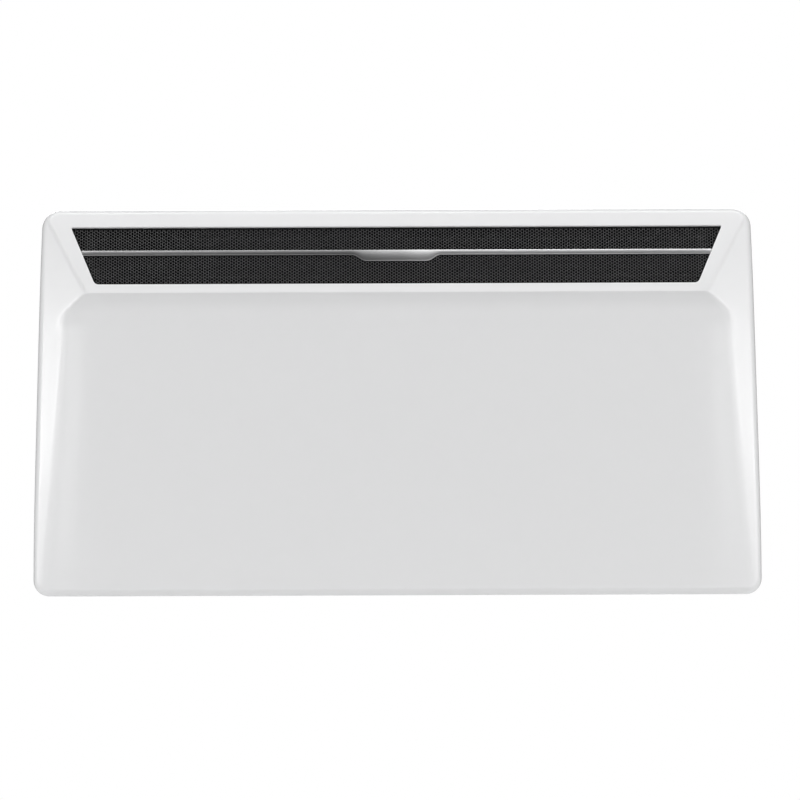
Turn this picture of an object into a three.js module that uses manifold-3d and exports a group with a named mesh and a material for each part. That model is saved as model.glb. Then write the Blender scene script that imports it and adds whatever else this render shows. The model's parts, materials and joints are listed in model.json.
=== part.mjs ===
// Wall panel convector heater that hangs on the hooks of a wall bracket.
// Millimetres, X to the viewer's right, Z up, front towards -Y.
// The wall is the plane y = 0 and the origin is the centre of the bracket's back face.
// Inside the heater, depth is the distance in front of the wall, so y = -depth,
// and z is counted from the underside of the casing.
import * as THREE from 'three';
import { mergeVertices } from 'three/addons/utils/BufferGeometryUtils.js';
import Module from 'manifold-3d';

const wasm = await Module();
wasm.setup();

// ---- driving dimensions ----
const GAP = 0.3;
const CLEAR = 30; // how far a cut runs on past the sheet it goes through
const CASING = {
  height: 440,
  bottomHalf: 416,
  topHalf: 403,
  sheet: 1,
  rear: 12,
  topRadius: 21,
  bottomRadius: 19,
  undersideDepth: 80,
  chamfer: 8,
  lipDepth: 14.2,
  lipWidth: 10,
};
CASING.taper = (CASING.bottomHalf - CASING.topHalf) / CASING.height;
const RIDGE = { depth: 112, z: 345 };
const SWEEP = { depth: 98, z: 301, pullDepth: 98.8, pullZ: 331 };
const TOP_DEPTH = 78;
const SHOULDER = { depth: 78.5, slope: 0.62, width: 120, radius: 7, flare: 5 };
const FACET_TILT = Math.atan2(RIDGE.depth - TOP_DEPTH, CASING.height - RIDGE.z);

const OUTLET = {
  bottomZ: 355.5, topZ: 420, bottomHalf: 342.8, topHalf: 370.6, cornerRadius: 6.5, rimDepth: 3.2,
};
const MESH = { margin: 6, thickness: 1.5, rows: 3, web: 2.4, edge: 4 };
const TRIM = {
  lowZ: 388.6, highZ: 394, front: -0.6, thickness: 2.5, bevel: 0.6,
  plateZ: 381.8, plateLowHalf: 36.5, plateHighHalf: 49,
};
const VANE = { heights: [22, 45, 68], front: -7.5, length: 16, sheet: 1.2, half: 356, rise: 5 };
const RACK = { x: 352, sheet: 1.5, foot: 9 };

const BRACKET = {
  z: 300, half: 260, halfHeight: 23, sheet: 2, flange: 8, hookX: 190, hookHalf: 11,
  tabZ: 312, tabReach: 19, lipTop: 323, slotX: 225, slotZ: 8, slotLong: 14, slotWide: 6,
};
const REAR_PANEL = {
  depth: 13, sheet: 0.8, bead: 2.5, beadHalf: 340, beadHeights: [248, 385], beadFoot: 14, beadCrest: 10,
};
REAR_PANEL.front = REAR_PANEL.depth + REAR_PANEL.sheet + GAP;
const HOOK_SLOT = { half: 13, low: 297 };
const VENT = { count: 22, firstX: -292, pitch: 26, half: 3, low: 150, high: 176 };
const SCREW = { radius: 1.9, head: 4, headTop: 2.8, hole: 2.3, headHeight: 1.4, length: 7 };
const BUMPER = { x: 300, z: 40, radius: 10, roundness: 2, neck: 4, barb: 5.6, barbTip: 3, barbLength: 4 };
const INTAKE = { leftX: -340, rightX: 276, near: 24, far: 70, slots: 44, slotWide: 7, margin: 4 };

const ELEMENT = {
  depth: 54, z: 110, left: -330, right: 250, bore: 4.3, hub: 8, arm: 38, armHalf: 1.2,
  ribs: [[16, 6], [24, 9], [32, 9]], ribHalf: 0.7,
};
const SHEATH = { radius: 4, left: -352, right: 272, pin: 1.6, pinLength: 12 };
const BUSH = { radius: 7, flange: 11, length: 14 };
const ELEMENT_BRACKET = {
  sheet: 1.2, low: 72, high: 152, front: 84, foot: 20, offset: 8, noseHalf: 16, corner: 20,
  hole: 5, holeInset: 15,
};
const SHIELD = { depth: 18, sheet: 0.6, low: 60, high: 288, turn: 6 };
const GUIDE = { sheet: 0.8, half: 372, startDepth: 26, startZ: 332, endDepth: 54, endZ: 430 };

const BAY = {
  centreDepth: 44, centreZ: 93, innerHalfDepth: 22, innerHalfHeight: 53, wall: 1.5, inner: 300, corner: 3,
};
const MODULE = { inner: 302.5, face: 393, wall: 1.5, facePlate: 2, play: 0.6 };
const SOCKET = { length: 14, wall: 4, wellDepth: 10 };
const PLUG = { halfDepth: 8, halfHeight: 12, length: 9, slits: [-7, 0, 7], slitHalf: 4, slitDepth: 5 };
const GLAND = { x: 330, z: 26, radius: 7, bore: 3.6, collar: 2, skirt: 3, nose: 3, tail: 4 };
const CUTOUT = { x: 200, z: 190, radius: 8, step: 6.5, height: 10, bladeApart: 3, bladeLength: 8 };
const BLOCK = { x: 300, z: 208, ways: 3, pitch: 11, wall: 2, height: 16, well: 7, length: 18 };
const WIRE = { radius: 1.3, steps: 13 };
const KNOB = {
  z: 26, radius: 16, height: 13, face: 10, flutes: 18, fluteDepth: 0.7, bore: 3.3, bevel: 1.2,
  skirt: 1.5, skirtHeight: 2, pointerHalf: 2,
};
const THERMOSTAT = { half: 15, depth: 24, boreDepth: 16, spindle: 24 };
const ROCKER = {
  z: -30, halfHeight: 13, halfWidth: 7, wall: 1.6, depth: 15, pivotInset: 5, bezel: 1.6, bezelHeight: 1.4,
  endGap: 0.9, sideGap: 0.4, proud: 3.4, valley: 2, heelHalf: 3, heelDepth: 4,
};
const PILOT = { z: -4, radius: 3, length: 4, flange: 1, height: 1.2, crown: 0.4 };

// ---- looks of the bare model ----
function finish(color, roughness, metalness = 0) {
  return () => new THREE.MeshStandardMaterial({ color, roughness, metalness });
}
const whiteEnamel = finish(0xf1f2f4, 0.22);
const blackSteel = finish(0x18181a, 0.4, 0.2);
const blackPlastic = finish(0x1b1b1d, 0.5);
const greyPlastic = finish(0x3a3b3e, 0.45);
const silverTrim = finish(0xc6c8cb, 0.28, 0.9);
const zincSteel = finish(0xb4b7ba, 0.42, 0.85);
const rawAluminium = finish(0xa9acb0, 0.4, 0.9);
const ceramic = finish(0xe9e4d8, 0.6);
const rubber = finish(0x222224, 0.85);
const brass = finish(0xc4a254, 0.35, 0.9);
const redLens = finish(0xc8402c, 0.15);
const brownWire = finish(0x6b4026, 0.5);
const blueWire = finish(0x2c5aa8, 0.5);
const greenWire = finish(0x5f9a3a, 0.5);

// ---- solids: closed meshes that can be joined and cut ----
function solidOf(geometry) {
  const bare = geometry.index ? geometry.toNonIndexed() : geometry.clone();
  bare.deleteAttribute('normal');
  bare.deleteAttribute('uv');
  const merged = mergeVertices(bare, 1e-4);
  return new wasm.Manifold(new wasm.Mesh({
    numProp: 3,
    vertProperties: new Float32Array(merged.attributes.position.array),
    triVerts: new Uint32Array(merged.index.array),
  }));
}

function geometryOf(solid) {
  const { vertProperties, triVerts } = solid.getMesh();
  const geometry = new THREE.BufferGeometry();
  geometry.setAttribute('position', new THREE.BufferAttribute(vertProperties, 3));
  geometry.setIndex(new THREE.BufferAttribute(triVerts, 1));
  return geometry;
}

function node(name, shape, material, position = [0, 0, 0]) {
  const geometry = shape.isBufferGeometry ? shape : geometryOf(shape);
  const mesh = new THREE.Mesh(geometry, material());
  mesh.name = name;
  mesh.position.set(...position);
  return mesh;
}

// An outline seen from the front holds (x, z) and grows with depth; one seen from the side holds
// (depth, z); one seen from the top holds (x, depth). low and high bound the third direction.
const RIGHT = new THREE.Vector3(1, 0, 0);
const UP = new THREE.Vector3(0, 0, 1);
const FORWARD = new THREE.Vector3(0, -1, 0);
const LEFT = RIGHT.clone().negate();
const DOWN = UP.clone().negate();
const VIEWS = {
  front: new THREE.Matrix4().makeBasis(RIGHT, UP, FORWARD),
  side: new THREE.Matrix4().makeBasis(FORWARD, UP, LEFT),
  top: new THREE.Matrix4().makeBasis(RIGHT, FORWARD, DOWN),
};

function prism(view, outline, low, high, holes = []) {
  const [from, to] = view === 'front' ? [low, high] : [-high, -low];
  return solidOf(flat(outline, from, to, holes).applyMatrix4(VIEWS[view]));
}

// An outline drawn on a flat face, made solid between two heights above that face.
function flat(outline, low, high, holes = []) {
  const shape = new THREE.Shape(outline);
  shape.holes = holes.map((hole) => new THREE.Path(hole));
  const geometry = new THREE.ExtrudeGeometry(shape, { depth: high - low, bevelEnabled: false });
  return geometry.translate(0, 0, low);
}

// Corners are [x, y] or [x, y, radius]; a radius becomes an arc of a few steps.
function outlineOf(corners, steps = 5) {
  const at = (i) => new THREE.Vector2(...corners.at(i % corners.length));
  return corners.flatMap(([x, y, radius = 0], i) => {
    const corner = new THREE.Vector2(x, y);
    if (radius === 0) return [corner];
    const back = at(i - 1).sub(corner).normalize();
    const ahead = at(i + 1).sub(corner).normalize();
    const half = Math.acos(back.dot(ahead)) / 2;
    const middle = back.clone().add(ahead).setLength(radius / Math.sin(half));
    const centre = corner.clone().add(middle);
    const from = back.setLength(radius / Math.tan(half)).add(corner).sub(centre).angle();
    const to = ahead.setLength(radius / Math.tan(half)).add(corner).sub(centre).angle();
    const sweep = Math.atan2(Math.sin(to - from), Math.cos(to - from));
    return Array.from({ length: steps + 1 }, (_, k) => {
      const angle = from + (sweep * k) / steps;
      return new THREE.Vector2(radius * Math.cos(angle), radius * Math.sin(angle)).add(centre);
    });
  });
}

// Moves every edge of a counter-clockwise outline inwards; a negative distance grows it.
function inset(points, distance) {
  const inward = (from, to) => new THREE.Vector2(from.y - to.y, to.x - from.x).normalize();
  return points.map((point, i) => {
    const before = inward(points.at(i - 1), point);
    const after = inward(point, points[(i + 1) % points.length]);
    const mitre = before.clone().add(after).normalize();
    return mitre.multiplyScalar(distance / mitre.dot(before)).add(point);
  });
}

function rectangle(left, bottom, right, top, radius = 0, steps = 3) {
  return outlineOf([
    [left, bottom, radius], [right, bottom, radius], [right, top, radius], [left, top, radius],
  ], steps);
}

// A slot whose ends are all but half circles.
function slot(x, y, halfWide, halfHigh, steps) {
  const radius = Math.min(halfWide, halfHigh) - 0.01;
  return rectangle(x - halfWide, y - halfHigh, x + halfWide, y + halfHigh, radius, steps);
}

function circle(x, y, radius, steps = 16) {
  return Array.from({ length: steps }, (_, k) => {
    const angle = (2 * Math.PI * k) / steps;
    return new THREE.Vector2(x + radius * Math.cos(angle), y + radius * Math.sin(angle));
  });
}

// A turned piece: the profile holds [radius, distance along the axis] and closes on the axis,
// or on itself round a bore. The axis is Y of the geometry, so it is laid along X, Y or Z.
function turned(profile, axis, steps = 20) {
  const geometry = new THREE.LatheGeometry(profile.map((point) => new THREE.Vector2(...point)), steps);
  if (axis === 'x') geometry.rotateZ(-Math.PI / 2);
  if (axis === 'z') geometry.rotateX(Math.PI / 2);
  return solidOf(geometry);
}

// ---- casing ----
function casingOutline() {
  const { bottomHalf, topHalf, height, bottomRadius, topRadius } = CASING;
  return outlineOf([
    [-bottomHalf, 0, bottomRadius], [bottomHalf, 0, bottomRadius],
    [topHalf, height, topRadius], [-topHalf, height, topRadius],
  ], 6);
}

// Section of the casing at its middle: underside, chamfer, gently bowed panel, sweep out to the
// ridge, slanted facet and top.
function casingSection(rear) {
  const { undersideDepth, chamfer, height } = CASING;
  const panel = new THREE.QuadraticBezierCurve(
    new THREE.Vector2(undersideDepth + chamfer, chamfer),
    new THREE.Vector2(SWEEP.depth - 0.6, height / 2),
    new THREE.Vector2(SWEEP.depth, SWEEP.z),
  );
  const sweep = new THREE.QuadraticBezierCurve(
    new THREE.Vector2(SWEEP.depth, SWEEP.z),
    new THREE.Vector2(SWEEP.pullDepth, SWEEP.pullZ),
    new THREE.Vector2(RIDGE.depth, RIDGE.z),
  );
  const top = outlineOf([[RIDGE.depth, RIDGE.z], [TOP_DEPTH, height, 4], [rear, height]], 3);
  return [
    new THREE.Vector2(rear, 0),
    new THREE.Vector2(undersideDepth, 0),
    ...panel.getPoints(6),
    ...sweep.getPoints(6).slice(1),
    ...top.slice(1),
  ];
}

// The shoulder falls from the panel to the side wall; it runs along the tapered side.
function shoulderForm(side, thickness) {
  const { depth, slope, width, radius, flare } = SHOULDER;
  const { bottomHalf, height, taper } = CASING;
  const peak = depth + slope * width;
  const beyond = -height;
  const outline = outlineOf([
    [beyond, 0], [bottomHalf + flare, 0], [bottomHalf, depth, radius],
    [bottomHalf - width, peak], [beyond, peak],
  ]);
  const lean = new THREE.Matrix4().makeShear(0, 0, 0, 0, -taper, 0);
  const geometry = geometryOf(prism('top', inset(outline, thickness), -1, height + 1));
  geometry.applyMatrix4(lean);
  return solidOf(side < 0 ? mirrored(geometry) : geometry);
}

// The same piece for the other side of the heater, with its faces turned outwards again.
function mirrored(geometry) {
  geometry.scale(-1, 1, 1);
  const index = geometry.index.array;
  for (let i = 0; i < index.length; i += 3) [index[i], index[i + 1]] = [index[i + 1], index[i]];
  return geometry;
}

// The whole outer form, or with a thickness the hollow inside it, which starts at `rear`.
function casingForm(thickness, rear) {
  const { bottomHalf, rear: rearEdge } = CASING;
  const section = inset(casingSection(rear - thickness), thickness);
  return prism('side', section, -bottomHalf, bottomHalf)
    .intersect(prism('front', inset(casingOutline(), thickness), rearEdge - 1, RIDGE.depth + 1))
    .intersect(shoulderForm(1, thickness))
    .intersect(shoulderForm(-1, thickness));
}

const facetUp = (z) => (z - RIDGE.z) / Math.cos(FACET_TILT);

// Places a piece drawn on the facet: x along the ridge, y up the facet, z out of it.
function facetMatrix() {
  const matrix = new THREE.Matrix4().makeRotationX(Math.PI / 2 - FACET_TILT);
  return matrix.setPosition(0, -RIDGE.depth, RIDGE.z);
}

function outletHalf(up) {
  const share = (up - facetUp(OUTLET.bottomZ)) / (facetUp(OUTLET.topZ) - facetUp(OUTLET.bottomZ));
  return OUTLET.bottomHalf + share * (OUTLET.topHalf - OUTLET.bottomHalf);
}

function outletOutline() {
  const { bottomHalf, topHalf, bottomZ, topZ, cornerRadius } = OUTLET;
  return outlineOf([
    [-bottomHalf, facetUp(bottomZ), cornerRadius], [bottomHalf, facetUp(bottomZ), cornerRadius],
    [topHalf, facetUp(topZ)], [-topHalf, facetUp(topZ)],
  ], 3);
}

function bayOutline(grow = 0) {
  const { centreDepth, centreZ, innerHalfDepth, innerHalfHeight, corner } = BAY;
  const halfDepth = innerHalfDepth + grow;
  const halfHeight = innerHalfHeight + grow;
  return rectangle(
    centreDepth - halfDepth, centreZ - halfHeight,
    centreDepth + halfDepth, centreZ + halfHeight, corner + grow,
  );
}

function screwPlaces() {
  const { bottomHalf, topHalf, height, sheet, lipWidth } = CASING;
  const inwards = sheet + lipWidth / 2 + 0.5;
  return [
    [-bottomHalf + 60, inwards], [bottomHalf - 60, inwards],
    [-topHalf + 40, height - inwards], [topHalf - 40, height - inwards],
    [0, height - inwards], [0, inwards],
  ];
}

function frontHousing() {
  const { sheet, rear, lipDepth, lipWidth } = CASING;
  const hollow = casingForm(sheet, lipDepth + sheet);
  const behindLip = prism('front', inset(casingOutline(), sheet), 0, lipDepth);
  const insideLip = prism('front', inset(casingOutline(), sheet + lipWidth), 0, lipDepth + sheet + 1);
  const onFacet = (outline, low, high) => solidOf(flat(outline, low, high).applyMatrix4(facetMatrix()));
  const rim = onFacet(inset(outletOutline(), -sheet), -OUTLET.rimDepth, -sheet / 2);
  const outlet = onFacet(outletOutline(), -CLEAR, sheet);
  const intake = prism('top', intakeOutline(), -1, sheet + 1);
  const niche = prism('side', bayOutline(), CASING.bottomHalf - 2 * CLEAR, CASING.bottomHalf + 1);
  const screwHoles = screwPlaces().map(([x, z]) => prism('front', circle(x, z, SCREW.hole, 8), rear, CLEAR));
  const shell = casingForm(0, rear).subtract(hollow).add(rim);
  const cuts = [behindLip, insideLip, outlet, intake, niche, ...screwHoles];
  return cuts.reduce((form, cut) => form.subtract(cut), shell);
}

// ---- rear panel, its screws and the wall bumpers ----
function rearPanel() {
  const { depth, sheet } = REAR_PANEL;
  const blank = prism('front', inset(casingOutline(), CASING.sheet + GAP), depth, depth + sheet);
  const cuts = [
    ...[-1, 1].map((side) => hookSlot(side)),
    ...Array.from({ length: VENT.count }, (_, i) => ventSlot(VENT.firstX + i * VENT.pitch)),
    ...screwPlaces().map(([x, z]) => circle(x, z, SCREW.hole, 8)),
    ...[-1, 1].map((side) => circle(side * BUMPER.x, BUMPER.z, BUMPER.neck + GAP, 12)),
    circle(GLAND.x, GLAND.z, GLAND.radius + GAP, 16),
  ];
  const holed = cuts.reduce((form, outline) => form.subtract(prism('front', outline, 0, CLEAR)), blank);
  return REAR_PANEL.beadHeights.reduce((form, z) => pressBead(form, z), holed);
}

// A stiffening bead: the strip between two cuts is pushed forwards and stays joined along them.
function pressBead(panel, z) {
  const { depth, sheet, bead, beadHalf, beadFoot, beadCrest } = REAR_PANEL;
  const path = [
    [-beadFoot - 1, 0], [-beadFoot, 0], [-beadCrest, bead],
    [beadCrest, bead], [beadFoot, 0], [beadFoot + 1, 0],
  ];
  const face = (lift) => path.map(([up, rise]) => new THREE.Vector2(depth + rise + lift, z + up));
  const strip = prism('side', [...face(sheet), ...face(0).reverse()], -beadHalf, beadHalf);
  const cut = prism('front', rectangle(-beadHalf, z - beadFoot, beadHalf, z + beadFoot), 0, CLEAR);
  return panel.subtract(cut).add(strip);
}

function hookSlot(side) {
  const middle = side * BRACKET.hookX;
  const top = BRACKET.tabZ + BRACKET.sheet / 2 + GAP;
  return rectangle(middle - HOOK_SLOT.half, HOOK_SLOT.low, middle + HOOK_SLOT.half, top);
}

function ventSlot(x) {
  return slot(x, (VENT.low + VENT.high) / 2, VENT.half, (VENT.high - VENT.low) / 2, 2);
}

function screw() {
  const { radius, head, headTop, headHeight, length } = SCREW;
  return turned([
    [0, -length], [radius, -length + 1], [radius, 0], [head, 0], [headTop, headHeight], [0, headHeight],
  ], 'y', 12);
}

function wallBumper() {
  const { radius, roundness, neck, barb, barbTip, barbLength } = BUMPER;
  const { depth, front } = REAR_PANEL;
  return turned([
    [0, -front - barbLength], [barbTip, -front - barbLength], [barb, -front], [neck, -front],
    [neck, GAP - depth], [radius, GAP - depth], [radius, -roundness], [radius - roundness, 0], [0, 0],
  ], 'y', 16);
}

// ---- wall bracket ----
function wallBracket() {
  const { half, halfHeight, sheet, flange, slotX, slotZ, slotLong, slotWide } = BRACKET;
  const slots = [-1, 1].flatMap((side) => [-1, 1].map(
    (level) => slot(side * slotX, level * slotZ, slotLong / 2, slotWide / 2, 3),
  ));
  const web = prism('front', rectangle(-half, -halfHeight, half, halfHeight, 6), 0, sheet, slots);
  const reach = half - flange;
  const fold = (low) => prism('side', rectangle(0, low, flange, low + sheet), -reach, reach);
  const pieces = [fold(halfHeight - sheet), fold(-halfHeight), hook(-1), hook(1)];
  return pieces.reduce((form, piece) => form.add(piece), web);
}

// A tab bent forwards out of the web, with its end turned up.
function hook(side) {
  const { z, sheet, hookX, hookHalf, tabZ, tabReach, lipTop } = BRACKET;
  const tabTop = tabZ + sheet / 2 - z;
  const profile = outlineOf([
    [0, tabTop - sheet], [tabReach, tabTop - sheet, 2.5], [tabReach, lipTop - z],
    [tabReach - sheet, lipTop - z], [tabReach - sheet, tabTop], [0, tabTop],
  ], 3);
  return prism('side', profile, side * hookX - hookHalf, side * hookX + hookHalf);
}

// ---- outlet: mesh, trim bar, vanes ----
function outletMesh() {
  const { margin, thickness, rows, web, edge } = MESH;
  const sheet = inset(outletOutline(), -margin);
  const low = facetUp(OUTLET.bottomZ);
  const high = facetUp(OUTLET.topZ);
  const pitch = (high - low - 2 * edge + web) / (rows + 0.5);
  const cell = (pitch - web) / Math.sqrt(3);
  const column = pitch * Math.cos(Math.PI / 6);
  const start = low + edge + (pitch - web) / 2;
  const holes = [];
  const reach = Math.floor(OUTLET.topHalf / column);
  for (let i = -reach; i <= reach; i += 1) {
    const shift = i % 2 === 0 ? 0 : pitch / 2;
    for (let j = 0; j < rows; j += 1) {
      const up = start + shift + pitch * j;
      const inside = outletHalf(up - cell) - edge - cell;
      if (Math.abs(i * column) < inside) holes.push(circle(i * column, up, cell, 6));
    }
  }
  const front = -OUTLET.rimDepth - GAP;
  return flat(sheet, front - thickness, front, holes);
}

function bevelledPlate(outline, front, thickness, bevel) {
  const geometry = new THREE.ExtrudeGeometry(new THREE.Shape(outline), {
    depth: thickness - 2 * bevel,
    bevelThickness: bevel,
    bevelSize: bevel,
    bevelOffset: -bevel,
    bevelSegments: 1,
  });
  return geometry.translate(0, 0, front - thickness + bevel);
}

// The bar spans the opening from side to side and widens into a plain plate at its middle.
function trimBar() {
  const low = facetUp(TRIM.lowZ);
  const high = facetUp(TRIM.highZ);
  const plate = facetUp(TRIM.plateZ);
  const lowHalf = outletHalf(low) - GAP;
  const highHalf = outletHalf(high) - GAP;
  const outline = outlineOf([
    [-lowHalf, low], [-TRIM.plateHighHalf, low, 5], [-TRIM.plateLowHalf, plate, 4],
    [TRIM.plateLowHalf, plate, 4], [TRIM.plateHighHalf, low, 5], [lowHalf, low],
    [highHalf, high], [-highHalf, high],
  ], 3);
  return bevelledPlate(outline, TRIM.front, TRIM.thickness, TRIM.bevel);
}

// Section of a vane in the facet's (y, z): a shallow arc that leans up towards the room.
function vaneSection(up, grow = 0) {
  const { front, length, sheet, rise } = VANE;
  const steps = 5;
  const arc = (offset) => Array.from({ length: steps + 1 }, (_, k) => {
    const share = k / steps;
    const along = front + grow - share * (length + 2 * grow);
    return new THREE.Vector2(up + offset - rise * share * share, along);
  });
  return [...arc(-sheet / 2 - grow).reverse(), ...arc(sheet / 2 + grow)];
}

// Extrudes a section given in the facet's (y, z) along x.
function alongFacet(section, left, right) {
  const across = new THREE.Matrix4().makeBasis(
    new THREE.Vector3(0, 1, 0), new THREE.Vector3(0, 0, 1), new THREE.Vector3(1, 0, 0),
  );
  return solidOf(flat(section, left, right).applyMatrix4(across));
}

function vane(up) {
  return alongFacet(vaneSection(up), -VANE.half, VANE.half);
}

// Upright plate with a slot for each vane and a foot turned in behind the facet.
function vaneRack(side) {
  const { x, sheet, foot } = RACK;
  const low = VANE.heights[0] - 12;
  const high = VANE.heights.at(-1) + 8;
  const back = VANE.front - VANE.length - 3;
  const front = -OUTLET.rimDepth - MESH.thickness - 2 * GAP;
  const along = (section, from, to) => {
    const ends = [side * from, side * to];
    return alongFacet(section, Math.min(...ends), Math.max(...ends));
  };
  const plate = along(rectangle(low, back, high, front), x, x + sheet);
  const rack = plate.add(along(rectangle(low, front - sheet, high, front), x - foot, x + sheet));
  const slots = VANE.heights.map((up) => along(vaneSection(up, GAP), x - 1, x + sheet + 1));
  return slots.reduce((form, cut) => form.subtract(cut), rack);
}

// ---- underside intake ----
function intakeOutline() {
  return rectangle(INTAKE.leftX, INTAKE.near, INTAKE.rightX, INTAKE.far, 4);
}

function intakeGrille() {
  const { leftX, rightX, near, far, slots, slotWide, margin } = INTAKE;
  const { sheet } = CASING;
  const plug = prism('top', inset(intakeOutline(), GAP), 0, sheet + GAP);
  const flange = prism('top', inset(intakeOutline(), -margin), sheet + GAP, sheet + GAP + 1.5);
  const pitch = (rightX - leftX - 2 * margin) / slots;
  const openings = Array.from({ length: slots }, (_, i) => {
    const middle = leftX + margin + pitch * (i + 0.5);
    const outline = rectangle(middle - slotWide / 2, near + margin, middle + slotWide / 2, far - margin);
    return prism('top', outline, -1, CLEAR);
  });
  return openings.reduce((form, opening) => form.subtract(opening), plug.add(flange));
}

// ---- heating element and the sheet metal round it ----
// One arm of the finned section: straight, with crosswise ribs, drawn along +x and then turned.
function finArm(angle) {
  const { hub, arm, armHalf, ribs, ribHalf } = ELEMENT;
  const side = [[hub, armHalf]];
  ribs.forEach(([place, reach]) => side.push(
    [place - ribHalf, armHalf], [place - ribHalf, reach],
    [place + ribHalf, reach], [place + ribHalf, armHalf],
  ));
  side.push([arm, armHalf]);
  const lower = side.map(([u, v]) => new THREE.Vector2(u, -v));
  const upper = side.map(([u, v]) => new THREE.Vector2(u, v)).reverse();
  return [...lower, ...upper].map((point) => point.rotateAround(new THREE.Vector2(), angle));
}

function heatingFins() {
  const { depth, z, left, right, bore } = ELEMENT;
  const section = [1, 3, 5, 7].flatMap((eighth) => finArm((eighth * Math.PI) / 4));
  const placed = section.map((point) => point.add(new THREE.Vector2(depth, z)));
  return prism('side', placed, left, right, [circle(depth, z, bore, 12)]);
}

function elementSheath() {
  const { radius, left, right, pin, pinLength } = SHEATH;
  return turned([
    [0, left - pinLength], [pin, left - pinLength], [pin, left], [radius, left],
    [radius, right], [pin, right], [pin, right + pinLength], [0, right + pinLength],
  ], 'x', 12);
}

function elementBush() {
  const { radius, flange, length } = BUSH;
  const bore = SHEATH.radius + GAP;
  const web = ELEMENT_BRACKET.sheet + 2 * GAP;
  const half = length / 2;
  return turned([
    [bore, -half], [radius, -half], [radius, web / 2], [flange, web / 2], [flange, half], [bore, half],
    [bore, -half],
  ], 'x');
}

function bracketX(side) {
  return side < 0 ? ELEMENT.left - ELEMENT_BRACKET.offset : ELEMENT.right + ELEMENT_BRACKET.offset;
}

function elementBracket(side) {
  const { sheet, low, high, front, foot, noseHalf, corner, hole, holeInset } = ELEMENT_BRACKET;
  const back = REAR_PANEL.front;
  const x = bracketX(side);
  const profile = outlineOf([
    [back, low], [front - corner, low], [front, ELEMENT.z - noseHalf, noseHalf / 2],
    [front, ELEMENT.z + noseHalf, noseHalf / 2], [front - corner, high], [back, high],
  ]);
  const holes = [
    circle(ELEMENT.depth, ELEMENT.z, BUSH.radius + GAP, 20),
    circle(back + holeInset, low + holeInset, hole, 12),
    circle(back + holeInset, high - holeInset, hole, 12),
  ];
  const web = prism('side', profile, x - sheet / 2, x + sheet / 2, holes);
  const tab = rectangle(Math.min(x, x + side * foot), low, Math.max(x, x + side * foot), high);
  return web.add(prism('front', tab, back, back + sheet));
}

function heatShield() {
  const { depth, sheet, low, high, turn } = SHIELD;
  const section = outlineOf([
    [depth, low], [depth + turn, low], [depth + turn, low + sheet], [depth + sheet, low + sheet],
    [depth + sheet, high - sheet], [depth + turn, high - sheet], [depth + turn, high], [depth, high],
  ]);
  return prism('side', section, ELEMENT.left + 2, ELEMENT.right - 2);
}

function airGuide() {
  const { sheet, half, startDepth, startZ, endDepth, endZ } = GUIDE;
  const curve = new THREE.QuadraticBezierCurve(
    new THREE.Vector2(startDepth, startZ),
    new THREE.Vector2(startDepth, endZ - 30),
    new THREE.Vector2(endDepth, endZ),
  );
  const back = curve.getPoints(8);
  const front = back.map((point, i) => {
    const along = curve.getTangent(i / 8);
    return point.clone().add(new THREE.Vector2(along.y, -along.x).multiplyScalar(sheet));
  });
  return prism('side', [...front, ...back.reverse()], -half, half);
}

// Snap disc in a stepped can, with two blades that point forwards.
function thermalCutout() {
  const { radius, step, bladeApart, bladeLength } = CUTOUT;
  const profile = [[0, 0], [step, 0], [step, 4], [radius, 5], [radius, CUTOUT.height], [0, CUTOUT.height]];
  const blade = (side) => prism(
    'side', rectangle(-1, -3, bladeLength, 3), side * bladeApart - 0.4, side * bladeApart + 0.4,
  );
  return turned(profile, 'y', 18).add(blade(-1)).add(blade(1));
}

// Comb of walls with an open well for each way.
function terminalBlock() {
  const { ways, pitch, wall, height, well, length } = BLOCK;
  const width = ways * pitch + wall;
  const comb = [[0, 0], [width, 0], [width, height]];
  for (let i = ways; i > 0; i -= 1) {
    const right = i * pitch;
    const left = right - pitch + wall;
    comb.push([right, height], [right, well], [left, well], [left, height]);
  }
  comb.push([0, height]);
  return prism('top', outlineOf(comb), 0, length);
}

const cutoutDepth = () => SHIELD.depth + SHIELD.sheet + GAP + CUTOUT.height;

// A wire follows a smooth route through a few chosen places, given as (x, depth, z).
function wire(places) {
  const route = new THREE.CatmullRomCurve3(places.map(([x, depth, z]) => new THREE.Vector3(x, -depth, z)));
  const section = new THREE.Shape(circle(0, 0, WIRE.radius, 6));
  return new THREE.ExtrudeGeometry(section, { steps: WIRE.steps, extrudePath: route });
}

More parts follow.
